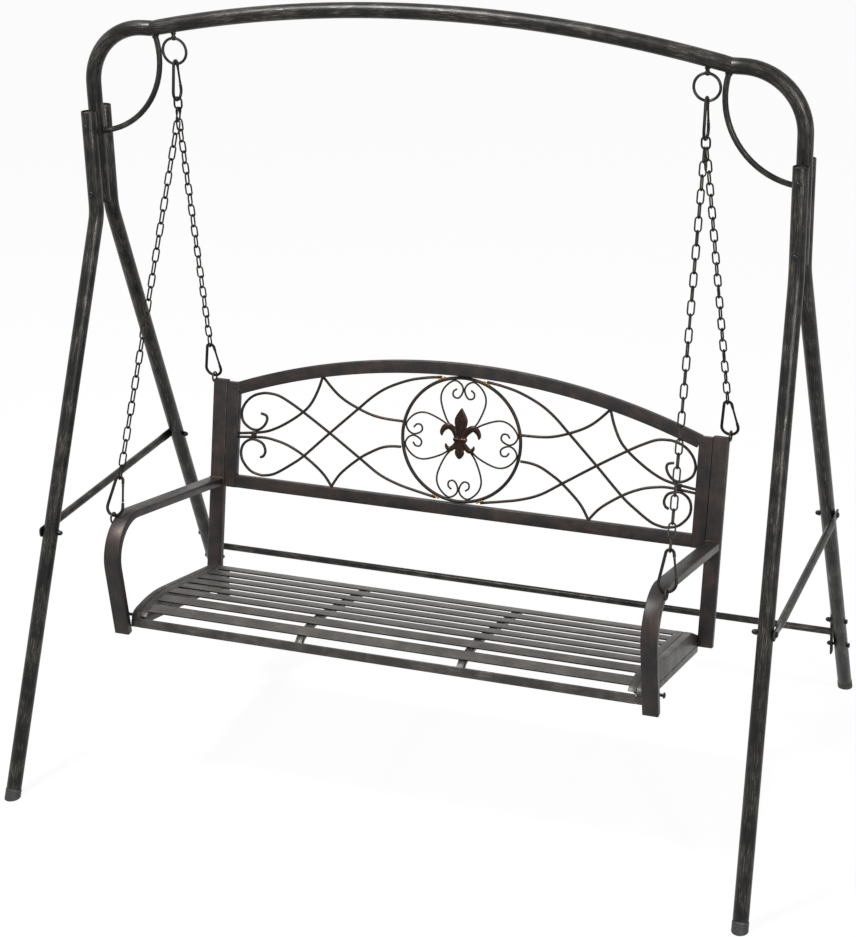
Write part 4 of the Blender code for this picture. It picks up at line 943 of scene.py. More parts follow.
def fine_line(path):
    """The same path with a point at least every two millimetres."""
    line = []
    for start, end in zip(path, path[1:]):
        steps = max(1, math.ceil((end - start).length / FINE_STEP))
        line += [start.lerp(end, step / steps) for step in range(steps)]
    return line + [path[-1]]


def brace_path(side):
    """The bow between the arch and the corner tube."""
    upper = math.degrees(math.asin((ARCH_END_Z - BRACE_CENTRE_Z) / BRACE_RADIUS))
    lower = math.degrees(math.acos((BRACE_CENTRE_X - CORNER_X) / BRACE_RADIUS))
    bow = arc((BRACE_CENTRE_X, BRACE_CENTRE_Z), BRACE_RADIUS, 180 - upper, 180 + lower)
    return [Vector((side * x, 0, z)) for x, z in bow]


for label, side in SIDES:
    path = brace_path(side)
    body = new_body()
    sweep(body, path, round_section(BRACE_DIAMETER / 2, 20), FRONTWARD)
    fine = fine_line(path)
    for line, run in ((fine_line(arch_path()), fine), (fine_line(corner_path(side)), fine[::-1])):
        place, direction = leaving_point(run, line, TUBE_RADIUS + BEAD_LIFT)
        ring_bead(body, place, direction, BRACE_DIAMETER / 2 + BEAD_LIFT)
    stand_piece("corner_brace_" + label, body)

for label, side in SIDES:
    centre = (side * RING_CENTRE_X, RING_CENTRE_Z)
    loop = [Vector((x, 0, z)) for x, z in circle(centre, RING_RADIUS - RING_WIRE / 2, RING_STEPS_SHOWN)]
    body = new_body()
    sweep(body, loop, round_section(RING_WIRE / 2, 14), FRONTWARD, cyclic=True)
    top = Vector((centre[0], 0, RING_CENTRE_Z + RING_RADIUS - RING_WIRE))
    nearest = min(arch_path(), key=lambda point: abs(point.x - centre[0]))
    tube_under = nearest.z - TUBE_RADIUS
    neck = [top, Vector((centre[0], 0, tube_under + NECK_SINK))]
    sweep(body, neck, round_section(RING_NECK / 2, 14), FRONTWARD)
    bead = Vector((centre[0], 0, tube_under - NECK_BEAD_DROP))
    ring_bead(body, bead, UP, RING_NECK / 2 + NECK_BEAD_LIFT)
    weld_spot(body, top + UP * RING_SPOT_RISE, RING_SPOT_SIZE)
    stand_piece("hanger_ring_" + label, body)
print("the ring hangs", round(tube_under - RING_CENTRE_Z, 4), "m under the arch's underside")

# %% [markdown]
# ## Side bars and the rear crossbar
#
# The bars between the front and rear legs are round bar hammered flat at both ends, where the
# bolts go through. The sweep takes a new section at each point, so the round one can change into
# the flat one over a few centimetres. The rear crossbar is a round bar welded between two plates
# that are bolted to the legs.

# %% Side bars
SQUASH_LENGTH = 34 * MM
SQUASH_STEPS = 7
SQUASH_INSET = 6 * MM
# The bar's rounded tip: how far in, and the share of the full height there
BAR_TIP = ((0, 0.5), (2 * MM, 0.86), (6 * MM, 1))


def side_bar_x():
    """Middle plane of a side bar, just outside its two legs."""
    leg = leg_point(1, 1, SIDE_BAR_Z)
    return leg.x + TUBE_RADIUS + BAR_FLAT_CLEARANCE + BAR_FLAT_THICKNESS / 2


def squashed(share):
    """The bar's section: round at 0, hammered flat at 1."""
    round_part = pressed_section(SIDE_BAR_DIAMETER, SIDE_BAR_DIAMETER, 2)
    flat_part = pressed_section(BAR_FLAT_THICKNESS, BAR_FLAT_HEIGHT, 6)
    mixed = []
    for (x, y), (flat_x, flat_y) in zip(round_part, flat_part):
        mixed.append((x + (flat_x - x) * share, y + (flat_y - y) * share))
    return mixed


for label, side in SIDES:
    leg = leg_point(side, 1, SIDE_BAR_Z)
    far = leg.y + BAR_FLAT_PAST_BOLT
    near = far - BAR_FLAT_LENGTH
    half_run = [(far - inset, 1, tall) for inset, tall in BAR_TIP]
    half_run.append((near + SQUASH_INSET, 1, 1))
    for step in range(1, SQUASH_STEPS + 1):
        share = step / SQUASH_STEPS
        flat = (1 + math.cos(math.pi * share)) / 2
        half_run.append((near + SQUASH_INSET - SQUASH_LENGTH * share, flat, 1))
    stations = [(-y, flat, tall) for y, flat, tall in half_run] + half_run[::-1]
    path = [Vector((side * side_bar_x(), y, SIDE_BAR_Z)) for y, _, _ in stations]
    sections = []
    for _, flat, tall in stations:
        sections.append([(x, y * tall) for x, y in squashed(flat)])
    body = new_body()
    sweep(body, path, sections, UP)
    stand_piece("side_bar_" + label, body)
print("side bar length", round(far * 2, 4), "m")

# %% Rear crossbar
PLATE_CLEARANCE = FIT_GAP * 4
PLATE_CORNER = 5 * MM
PLATE_EDGE = 0.7 * MM
PLATE_BEAD_LIFT = 0.6 * MM


def crossbar_axis(side):
    """Direction of a rear leg, which the crossbar's end plate follows."""
    _, bend, foot = leg_axis(side, 1)
    return (bend - foot).normalized()


def crossbar_bolt_places(side):
    """The two bolt points on a rear leg's centre line."""
    middle = leg_point(side, 1, CROSSBAR_Z)
    step = crossbar_axis(side) * CROSSBAR_BOLT_SPACING / 2
    return (middle + step, middle - step)


leg = leg_point(1, 1, CROSSBAR_Z)
plate_x = leg.x - TUBE_RADIUS - PLATE_CLEARANCE - CROSSBAR_PLATE_THICKNESS / 2
body = new_body()
run = [Vector((-plate_x, leg.y, CROSSBAR_Z)), Vector((plate_x, leg.y, CROSSBAR_Z))]
sweep(body, run, round_section(CROSSBAR_DIAMETER / 2), UP)
for side in (-1, 1):
    outline = box_section(CROSSBAR_PLATE_WIDTH, CROSSBAR_PLATE_LENGTH, PLATE_CORNER)
    middle = Vector((side * plate_x, leg.y, CROSSBAR_Z))
    outward = SIDEWAYS * side
    sideways = outward - crossbar_axis(side) * crossbar_axis(side).dot(outward)
    place = frame_at(middle, sideways, FRONTWARD)
    slab(body, outline, CROSSBAR_PLATE_THICKNESS, place, PLATE_EDGE)
    inward = middle - Vector((side * CROSSBAR_PLATE_THICKNESS / 2, 0, 0))
    ring_bead(body, inward, SIDEWAYS, CROSSBAR_DIAMETER / 2 + PLATE_BEAD_LIFT)
stand_piece("rear_crossbar", body)
print("crossbar between plates:", round(plate_x * 2, 4), "m")

# %% [markdown]
# ## Bolts, set out by Geometry Nodes
#
# Fourteen bolts hold the stand and the bench: a low round head on one side, a dome nut on a
# washer on the other, and the shank between. They are all alike but for their grip, so they are
# not modelled one by one. A mesh of loose points marks each head and carries two attributes: turn,
# the way the bolt points, and grip, how far its nut is. A Geometry Nodes tree puts the head, the
# nut and a stretched shank on every point, and the result is realised to one mesh for a body.

# %% Head and nut
HEAD_WASHER_RADIUS = BOLT_HEAD_RADIUS * 0.97
HEAD_WASHER_REACH = 1.4 * MM
HEAD_FOOT_REACH = 1.5 * MM
# The head's outline above its washer: shares of its radius and of its height
HEAD_FOOT_SHARE = 0.84
HEAD_SHARES = ((0.84, 0.5), (0.76, 0.76), (0.55, 0.93), (0.28, 0.99), (0, 1))
NUT_WASHER_HEIGHTS = (1.3 * MM, 0.1 * MM)
NUT_FOOT = 1.5 * MM
NUT_EDGE = 0.5 * MM
HEXAGON_RADIUS = NUT_RADIUS * 0.98
DOME_RADIUS = NUT_RADIUS * 0.80
DOME_ANGLES = (70, 50, 30, 10)
DOME_SINK = 1 * MM


def copied_part(name, build):
    """A mesh object outside the scene that the tree can copy."""
    body = new_body()
    build(body)
    mesh = to_mesh(name, body)
    shade(mesh)
    return bpy.data.objects.new(name, mesh)


def build_head(body):
    """A low round head over a thin washer."""
    profile = [
        (0, -FIT_GAP), (HEAD_WASHER_RADIUS, -FIT_GAP), (HEAD_WASHER_RADIUS, -HEAD_WASHER_REACH),
        (BOLT_HEAD_RADIUS * HEAD_FOOT_SHARE, -HEAD_FOOT_REACH)]
    profile += [(BOLT_HEAD_RADIUS * wide, -BOLT_HEAD_HEIGHT * tall) for wide, tall in HEAD_SHARES]
    lathe(body, profile, Matrix(), 20)


def build_nut(body):
    """A hexagon with a domed cap, on a washer."""
    top, low = NUT_WASHER_HEIGHTS
    lathe(body, [(0, top), (NUT_RADIUS, top), (NUT_RADIUS, low), (0, low)], Matrix(), 20)
    place = Matrix.Translation((0, 0, (NUT_HEIGHT + NUT_FOOT) / 2))
    slab(body, circle((0, 0), HEXAGON_RADIUS, 6), NUT_HEIGHT - NUT_FOOT, place, NUT_EDGE)
    profile = [(0, NUT_HEIGHT + NUT_DOME)]
    for angle in DOME_ANGLES:
        turn = math.radians(angle)
        profile.append((DOME_RADIUS * math.cos(turn), NUT_HEIGHT + NUT_DOME * math.sin(turn)))
    profile += [(DOME_RADIUS, NUT_HEIGHT - DOME_SINK), (0, NUT_HEIGHT - DOME_SINK)]
    lathe(body, profile, Matrix(), 18)


HEAD = copied_part("bolt_head", build_head)
NUT = copied_part("dome_nut", build_nut)
print("head faces:", len(HEAD.data.polygons), "nut faces:", len(NUT.data.polygons))

# %% The bolt tree
def new_tree(name, inputs):
    """A Geometry Nodes tree with named inputs: (name, socket type)."""
    tree = bpy.data.node_groups.new(name, "GeometryNodeTree")
    tree.interface.new_socket("Geometry", in_out="OUTPUT", socket_type="NodeSocketGeometry")
    tree.interface.new_socket("Geometry", in_out="INPUT", socket_type="NodeSocketGeometry")
    for label, kind in inputs:
        tree.interface.new_socket(label, in_out="INPUT", socket_type=kind)
    return tree, add_node(tree, "NodeGroupInput").outputs


def close_tree(tree, geometry, material):
    """Realise the copies, give them the material and end the tree."""
    real = add_node(tree, "GeometryNodeRealizeInstances", links={"Geometry": geometry})
    painted = add_node(
        tree, "GeometryNodeSetMaterial", links={"Geometry": real.outputs[0], "Material": material})
    add_node(tree, "NodeGroupOutput", links={"Geometry": painted.outputs[0]})


def run_tree(tree, mesh, values):
    """Run a tree on a mesh and return the result as a plain mesh."""
    carrier = bpy.data.objects.new("carrier", mesh)
    bpy.context.scene.collection.objects.link(carrier)
    modifier = carrier.modifiers.new("nodes", "NODES")
    modifier.node_group = tree
    sockets = {item.name: item.identifier for item in tree.interface.items_tree if item.in_out == "INPUT"}
    for name, value in values.items():
        modifier[sockets[name]] = value
    carrier.update_tag()
    bpy.context.view_layer.update()
    made = carrier.evaluated_get(bpy.context.evaluated_depsgraph_get())
    result = bpy.data.meshes.new_from_object(made)
    carrier.modifiers.clear()
    bpy.data.objects.remove(carrier, do_unlink=True)
    return result


def bolt_tree():
    """Heads at the points, nuts at the ends of their grips, shanks between."""
    tree, given = new_tree("bolts at points", [
        ("Head", "NodeSocketObject"), ("Nut", "NodeSocketObject"), ("Shank Radius", "NodeSocketFloat"),
        ("Material", "NodeSocketMaterial")])
    turn = add_node(tree, "GeometryNodeInputNamedAttribute", {"data_type": "FLOAT_VECTOR"}, {"Name": "turn"})
    grip = add_node(tree, "GeometryNodeInputNamedAttribute", {"data_type": "FLOAT"}, {"Name": "grip"})
    rotation = add_node(tree, "FunctionNodeEulerToRotation", links={"Euler": turn.outputs[0]}).outputs[0]
    reach = add_node(tree, "ShaderNodeCombineXYZ", links={"Z": grip.outputs[0]}).outputs[0]
    offset = add_node(tree, "FunctionNodeRotateVector", links={"Vector": reach, "Rotation": rotation})
    far = add_node(
        tree, "GeometryNodeSetPosition", links={"Geometry": given["Geometry"], "Offset": offset.outputs[0]})
    copies = []
    for part, points in (("Head", given["Geometry"]), ("Nut", far.outputs[0])):
        shape = add_node(tree, "GeometryNodeObjectInfo", links={"Object": given[part]})
        placed = add_node(
            tree, "GeometryNodeInstanceOnPoints",
            links={"Points": points, "Instance": shape.outputs["Geometry"], "Rotation": rotation})
        copies.append(placed.outputs[0])
    shank = add_node(
        tree, "GeometryNodeMeshCylinder", values={"Vertices": 12, "Depth": 1},
        links={"Radius": given["Shank Radius"]})
    half = add_node(
        tree, "ShaderNodeVectorMath", {"operation": "SCALE"}, {"Scale": 0.5}, {0: offset.outputs[0]})
    middle = add_node(
        tree, "GeometryNodeSetPosition", links={"Geometry": given["Geometry"], "Offset": half.outputs[0]})
    stretch = add_node(tree, "ShaderNodeCombineXYZ", values={"X": 1, "Y": 1}, links={"Z": grip.outputs[0]})
    shanks = add_node(tree, "GeometryNodeInstanceOnPoints", links={
        "Points": middle.outputs[0], "Instance": shank.outputs["Mesh"], "Rotation": rotation,
        "Scale": stretch.outputs[0]})
    joined = add_node(tree, "GeometryNodeJoinGeometry")
    for copy in (*copies, shanks.outputs[0]):
        tree.links.new(copy, joined.inputs[0])
    close_tree(tree, joined.outputs[0], given["Material"])
    return tree


BOLT_TREE = bolt_tree()
print("bolt tree has", len(BOLT_TREE.nodes), "nodes")

# %% Bolts of the stand
# A bolt that points more along X than this share of its direction is turned about the upright
STEEP = 0.7


def bolt_points(places):
    """A mesh of loose points with the attributes turn and grip."""
    mesh = bpy.data.meshes.new("bolt_points")
    mesh.from_pydata([tuple(start) for start, _, _ in places], [], [])
    mesh.attributes.new("turn", "FLOAT_VECTOR", "POINT")
    mesh.attributes.new("grip", "FLOAT", "POINT")
    turn = mesh.attributes["turn"]
    grip = mesh.attributes["grip"]
    for index, (start, direction, length) in enumerate(places):
        side = UP if abs(Vector(direction).x) > STEEP else SIDEWAYS
        turn.data[index].vector = frame_at(start, direction, side).to_euler()
        grip.data[index].value = length
    return mesh


def make_bolts(name, places, body_name, nodes):
    """All bolts of one body as one piece."""
    values = {"Head": HEAD, "Nut": NUT, "Shank Radius": BOLT_RADIUS, "Material": BOLT_BLACK}
    mesh = run_tree(BOLT_TREE, bolt_points(places), values)
    return finish_piece(name, mesh, BOLT_BLACK, body_name, nodes)


places = []
nodes = []
half = LEG_OFFSET_Y + TUBE_RADIUS
for label, side in SIDES:
    for word, height in zip(("upper", "lower"), CORNER_BOLT_HEIGHTS):
        places.append(((side * CORNER_X, -half, height), REARWARD, half * 2 + FIT_GAP))
        nodes.append("corner_bolt_" + word + "_" + label)
    for end_label, end in ENDS:
        leg = leg_point(side, end, SIDE_BAR_Z)
        outer = side_bar_x() + BAR_FLAT_THICKNESS / 2
        grip = outer - (leg.x * side - TUBE_RADIUS) + BAR_FLAT_CLEARANCE + FIT_GAP
        places.append(((side * outer, leg.y, leg.z), (-side, 0, 0), grip))
        nodes.append("side_bar_bolt_" + end_label + "_" + label)
    for place in crossbar_bolt_places(side):
        start = place + Vector((side * (TUBE_RADIUS + FIT_GAP * 2), 0, 0))
        grip = abs(start.x) - plate_x + CROSSBAR_PLATE_THICKNESS / 2
        places.append((start, (-side, 0, 0), grip))
stand_bolts = make_bolts("stand_bolts", places, "stand", nodes)
print("bolts on the stand:", len(places), "triangles:", len(stand_bolts.data.loop_triangles))

# %% [markdown]
# ## The bench: posts and armrests
#
# The bench hangs leaning back, so its pieces are built in their own upright frame and turned
# with one matrix at the end. The posts and the armrests are flat-sided tube of 40 by 20 mm with
# rolled corners, about 3 mm round. A small eye is welded to the outer side of each for the hook
# of its chain. The armrest is one length bent down at the front and welded to the post.

# %% Seat line
def seat_crown():
    """End angle of the seat's crown and how far it has dropped there."""
    angle = math.asin(SEAT_CROWN_REACH / SEAT_CROWN_RADIUS)
    return angle, SEAT_CROWN_RADIUS * (1 - math.cos(angle))


def seat_curve_length():
    """Length along the seat's top line from the posts to the front edge."""
    angle, _ = seat_crown()
    return SEAT_FLAT_REACH + SEAT_CROWN_RADIUS * angle + SEAT_NOSE_RADIUS * (math.pi / 2 - angle)


def seat_curve(length):
    """Point on the seat's top line at a length from the posts, in the bench frame's YZ plane."""
    angle, drop = seat_crown()
    crown_length = SEAT_CROWN_RADIUS * angle
    if length <= SEAT_FLAT_REACH:
        return (-length, SEAT_TOP_Z)
    length = length - SEAT_FLAT_REACH
    if length <= crown_length:
        turn = length / SEAT_CROWN_RADIUS
        return (
            -SEAT_FLAT_REACH - SEAT_CROWN_RADIUS * math.sin(turn),
            SEAT_TOP_Z - SEAT_CROWN_RADIUS * (1 - math.cos(turn)))
    turn = min(angle + (length - crown_length) / SEAT_NOSE_RADIUS, math.pi / 2)
    start_y = -SEAT_FLAT_REACH - SEAT_CROWN_REACH
    start_z = SEAT_TOP_Z - drop
    return (
        start_y - SEAT_NOSE_RADIUS * (math.sin(turn) - math.sin(angle)),
        start_z - SEAT_NOSE_RADIUS * (math.cos(angle) - math.cos(turn)))


def seat_slope(length):
    """Angle of the seat's top line below the bench frame's horizontal."""
    angle, _ = seat_crown()
    if length <= SEAT_FLAT_REACH:
        return 0
    return min((length - SEAT_FLAT_REACH) / SEAT_CROWN_RADIUS, angle)


print("seat line length", round(seat_curve_length(), 4), "m")

# %% Eyes
EYE_SPOT_LEANS = (-0.75, 0, 0.75)
EYE_SPOT_INSET = EYE_WIRE * 0.35
EYE_SPOT_SIZE = EYE_WIRE * 1.05


def eye_x(side):
    """Middle plane of the eyes, on the outer faces of the posts and the armrests."""
    return side * (POST_OUTER_X + EYE_WIRE / 2 - WELD_SINK)


def post_eye(side):
    """Centre of the eye on a post, in the bench frame."""
    return Vector((eye_x(side), FLAT_TUBE_THICKNESS / 2, POST_HEIGHT + POST_EYE_RISE))


def arm_bend_centre():
    """Centre of the armrest's front bend, in the bench frame's YZ plane."""
    front_y, _ = seat_curve(seat_curve_length())
    return (front_y + ARM_BEND_SETBACK, ARM_TOP_Z - FLAT_TUBE_THICKNESS / 2 - ARM_BEND_RADIUS)


def arm_eye(side):
    """Centre of the eye on an armrest's front bend, in the bench frame."""
    y, z = arm_bend_centre()
    angle = math.radians(180 - ARM_EYE_ANGLE)
    radius = ARM_BEND_RADIUS + FLAT_TUBE_THICKNESS / 2
    return Vector((eye_x(side), y + radius * math.cos(angle), z + radius * math.sin(angle)))


def add_eye(body, centre, inward):
    """A welded ring square to X, with a spot of weld on the side that touches the tube."""
    loop_radius = EYE_INNER_RADIUS + EYE_WIRE / 2
    loop = [Vector((centre.x, y, z)) for y, z in circle((centre.y, centre.z), loop_radius, 28)]
    sweep(body, loop, round_section(EYE_WIRE / 2, 10), SIDEWAYS, cyclic=True)
    across = inward.cross(SIDEWAYS).normalized()
    side = math.copysign(1, centre.x)
    for lean in EYE_SPOT_LEANS:
        spot = centre + (inward + across * lean).normalized() * loop_radius
        weld_spot(body, spot - SIDEWAYS * side * EYE_SPOT_INSET, EYE_SPOT_SIZE)


print("eye centres:", [round(c, 4) for c in post_eye(1)], [round(c, 4) for c in arm_eye(1)])

# %% Posts with their plugs
PLUG_RIM = 1.6 * MM


def add_end_plug(body, end, outward, width, height, normal):
    """A moulded plug in the end of a flat tube, sunk a little."""
    inside = box_section(width - FLAT_TUBE_WALL * 2, height - FLAT_TUBE_WALL * 2, TUBE_CORNER / 2)
    sweep(body, [end - outward * BORE_DEPTH, end - outward * PLUG_RIM], inside, normal)


for label, side in SIDES:
    middle_x = side * (POST_INNER_X + POST_OUTER_X) / 2
    foot = Vector((middle_x, FLAT_TUBE_THICKNESS / 2, 0))
    top = foot + Vector((0, 0, POST_HEIGHT))
    body = new_body()
    sweep(body, [foot, top], flat_tube, REARWARD, ends=("open", "open"), wall=FLAT_TUBE_WALL)
    add_eye(body, post_eye(side), -UP)
    bench_piece("back_post_" + label, body, BENCH_COAT)
    plugs = new_body()
    for end, outward in ((top, UP), (foot, -UP)):
        normal = SIDEWAYS.cross(outward)
        add_end_plug(plugs, end, outward, FLAT_TUBE_WIDTH, FLAT_TUBE_THICKNESS, normal)
    bench_piece("post_plugs_" + label, plugs, PLUG_PLASTIC, ())
print("posts", POST_HEIGHT, "m long")

# %% Armrests
ARM_BEAD_LIFT = 1.2 * MM
ARM_BEAD_WIRE = 2.6 * MM


def arm_path(side):
    """Centre line of the armrest tube, from the post round the bend and down to its foot."""
    y, z = arm_bend_centre()
    bend = arc((y, z), ARM_BEND_RADIUS, 90, 180 + ARM_LEAN_BACK)
    end_y, end_z = bend[-1]
    drop = end_z - ARM_BOTTOM_Z
    foot = (end_y + drop * math.tan(math.radians(ARM_LEAN_BACK)), ARM_BOTTOM_Z)
    line = [(-FIT_GAP, ARM_TOP_Z - FLAT_TUBE_THICKNESS / 2), *bend, foot]
    middle_x = side * (POST_INNER_X + POST_OUTER_X) / 2
    return [Vector((middle_x, y, z)) for y, z in line]


upright_tube = box_section(FLAT_TUBE_THICKNESS, FLAT_TUBE_WIDTH, TUBE_CORNER)
for label, side in SIDES:
    path = arm_path(side)
    body = new_body()
    sweep(body, path, upright_tube, SIDEWAYS, ends=("flat", "open"), wall=FLAT_TUBE_WALL)
    y, z = arm_bend_centre()
    eye = arm_eye(side)
    add_eye(body, eye, Vector((0, y - eye.y, z - eye.z)).normalized())
    width = FLAT_TUBE_WIDTH + ARM_BEAD_LIFT
    seam = box_section(width, FLAT_TUBE_THICKNESS + ARM_BEAD_LIFT, TUBE_CORNER, 4)
    place = frame_at(path[0] + FRONTWARD * ARM_BEAD_LIFT, FRONTWARD, SIDEWAYS)
    weld_bead(body, [place @ Vector((a, b, 0)) for a, b in seam], FRONTWARD, ARM_BEAD_WIRE)
    bench_piece("armrest_" + label, body, BENCH_COAT)
    plugs = new_body()
    outward = (path[-1] - path[-2]).normalized()
    add_end_plug(plugs, path[-1], outward, FLAT_TUBE_THICKNESS, FLAT_TUBE_WIDTH, SIDEWAYS)
    bench_piece("arm_plug_" + label, plugs, PLUG_PLASTIC, ())
print("arm reaches", round(-min(p.y for p in path), 4), "m in front of the posts")

# %% [markdown]
# ## The seat
#
# Two deep side rails roll over at the front and slope down at the rear. Eight thin flat slats
# run between them, their ends on a narrow strip along each rail, with a ninth slat standing on
# edge under the front. Two bars run under the slats from back to front. The slats follow the
# seat's curved line, which is work for Geometry Nodes: the line is a curve, the tree trims it,
# sets a point for each slat and turns a copy of the slat to the slope there.

# %% Side rails, in two halves with a seam
SEAM_GAP = 1.1 * MM
SEAM_DEPTH = SEAM_GAP * 2
RAIL_EDGE = 2 * MM
RAIL_STEPS = 26
CORE_THICKNESS = RAIL_THICKNESS - RAIL_EDGE * 1.5
CORE_EDGE = 0.2 * MM
RAIL_REAR = FLAT_TUBE_THICKNESS


def rail_top():
    """Top line of a seat rail in the YZ plane, from its rear end to the front edge."""
    run = seat_curve_length() - SEAT_FLAT_REACH
    top = [(RAIL_REAR, RAIL_TAIL_HEIGHT), (-RAIL_TAIL_REACH, SEAT_TOP_Z)]
    top += [seat_curve(SEAT_FLAT_REACH + run * step / RAIL_STEPS) for step in range(RAIL_STEPS + 1)]
    return top


def cut_low(outline, height):
    """Keep the part of a convex outline above a height."""
    kept = []
    for (y, z), (next_y, next_z) in zip(outline, outline[1:] + outline[:1]):
        if z >= height:
            kept.append((y, z))
        if (z - height) * (next_z - height) < 0:
            share = (height - z) / (next_z - z)
            kept.append((y + (next_y - y) * share, height))
    return kept


def box_outline(rear, front, top, bottom):
    """A plain rectangle in the YZ plane."""
    return [(rear, top), (front, top), (front, bottom), (rear, bottom)]


IN_YZ = Matrix(((0, 0, 1, 0), (1, 0, 0, 0), (0, 1, 0, 0), (0, 0, 0, 1)))
front_y, _ = seat_curve(seat_curve_length())
whole = rail_top() + [(front_y, RAIL_BOTTOM_Z), (RAIL_REAR, RAIL_BOTTOM_Z)]
upper = cut_low(whole, SEAM_GAP / 2)
lower = box_outline(RAIL_REAR, front_y, -SEAM_GAP / 2, RAIL_BOTTOM_Z)
core = box_outline(RAIL_REAR - SEAM_DEPTH, front_y + SEAM_DEPTH, SEAM_DEPTH, -SEAM_DEPTH)
for label, side in SIDES:
    place = Matrix.Translation((side * (RAIL_OUTER_X + RAIL_INNER_X) / 2, 0, 0)) @ IN_YZ
    body = new_body()
    slab(body, upper, RAIL_THICKNESS, place, RAIL_EDGE)
    slab(body, lower, RAIL_THICKNESS, place, RAIL_EDGE)
    slab(body, core, CORE_THICKNESS, place, CORE_EDGE)
    bench_piece("seat_side_rail_" + label, body, SEAT_COAT)
print("rail depth", round(RAIL_REAR - front_y, 4), "m")

# %% The slat tree
SLAT_EDGE = 1 * MM


def slat_tree():
    """Copies of a slat at even steps along a trimmed line, square to it."""
    tree, given = new_tree("slats along a line", [
        ("Slat", "NodeSocketObject"), ("Count", "NodeSocketInt"), ("First", "NodeSocketFloat"),
        ("Last", "NodeSocketFloat"), ("Material", "NodeSocketMaterial")])
    line = add_node(tree, "GeometryNodeMeshToCurve", links={"Mesh": given["Geometry"]})
    trimmed = add_node(tree, "GeometryNodeTrimCurve", {"mode": "LENGTH"}, links={"Curve": line.outputs[0]})
    start = [s for s in trimmed.inputs if s.name == "Start" and s.enabled][-1]
    end = [s for s in trimmed.inputs if s.name == "End" and s.enabled][-1]
    tree.links.new(given["First"], start)
    tree.links.new(given["Last"], end)
    points = add_node(
        tree, "GeometryNodeCurveToPoints", {"mode": "COUNT"},
        links={"Curve": trimmed.outputs[0], "Count": given["Count"]})
    turned = add_node(
        tree, "FunctionNodeAxesToRotation", {"primary_axis": "Y", "secondary_axis": "X"},
        {"Secondary Axis": (1, 0, 0)}, {"Primary Axis": points.outputs["Tangent"]})
    slat = add_node(tree, "GeometryNodeObjectInfo", links={"Object": given["Slat"]})
    placed = add_node(tree, "GeometryNodeInstanceOnPoints", links={
        "Points": points.outputs["Points"], "Instance": slat.outputs["Geometry"],
        "Rotation": turned.outputs[0]})
    close_tree(tree, placed.outputs[0], given["Material"])
    return tree


def build_slat(body):
    """One slat under its own top line: thin flat bar with rounded edges."""
    half = RAIL_INNER_X - FIT_GAP - SIDE_STRIP_WIDTH + WELD_SINK
    run = [Vector((-half, 0, -SLAT_THICKNESS / 2)), Vector((half, 0, -SLAT_THICKNESS / 2))]
    sweep(body, run, box_section(SLAT_WIDTH, SLAT_THICKNESS, SLAT_EDGE), UP)


SLAT = copied_part("slat", build_slat)
SLAT_TREE = slat_tree()
print("slat tree has", len(SLAT_TREE.nodes), "nodes")

# %% Slats
LINE_STEPS = 240
total = seat_curve_length()
line = [(0, *seat_curve(total * (1 - step / LINE_STEPS))) for step in range(LINE_STEPS + 1)]
seat_line = bpy.data.meshes.new("seat_line")
seat_line.from_pydata(line, [(index, index + 1) for index in range(LINE_STEPS)], [])
values = {
    "Slat": SLAT, "Count": SLAT_COUNT, "First": SLAT_LAST_INSET, "Last": total - SLAT_FIRST_INSET,
    "Material": SLAT_COAT_PAINTED_LIGHT_AND_SHADE}
slats = run_tree(SLAT_TREE, seat_line, values)
slats.transform(BENCH)
finish_piece("bench_seat_slats", slats, SLAT_COAT_PAINTED_LIGHT_AND_SHADE, "bench", ["seat_deck"])
print("slats:", SLAT_COUNT, "vertices:", len(slats.vertices))

# %% Strips at the slats' ends, bars under them and the front slat
STRIP_STEPS = 44
SUPPORT_STEPS = 10
SUPPORT_EDGE = 1.8 * MM
SUPPORT_SPOT_DROP = 1 * MM
SUPPORT_SPOT_SIZE = 4.5 * MM
# More than half the slat's thickness, so the faces along its long edges overlap by 0.8 mm
FRONT_SLAT_EDGE = 2.2 * MM


def under_seat(x, length, depth):
    """The point that lies square under the seat's top line by a depth."""
    y, z = seat_curve(length)
    slope = seat_slope(length)
    return Vector((x, y + math.sin(slope) * depth, z - math.cos(slope) * depth))


strips = new_body()
strip_end = total - SEAT_NOSE_RADIUS / 2
strip_run = strip_end - SLAT_FIRST_INSET + SLAT_WIDTH / 2
for side in (-1, 1):
    strip_x = side * (RAIL_INNER_X - FIT_GAP - SIDE_STRIP_WIDTH / 2)
    path = []
    for step in range(STRIP_STEPS + 1):
        length = strip_end - strip_run * (1 - step / STRIP_STEPS)
        path.append(under_seat(strip_x, length, SLAT_THICKNESS / 2))
    sweep(strips, path, box_section(SLAT_THICKNESS, SIDE_STRIP_WIDTH, SLAT_EDGE), SIDEWAYS)
bench_piece("seat_side_strips", strips, SEAT_COAT, ())

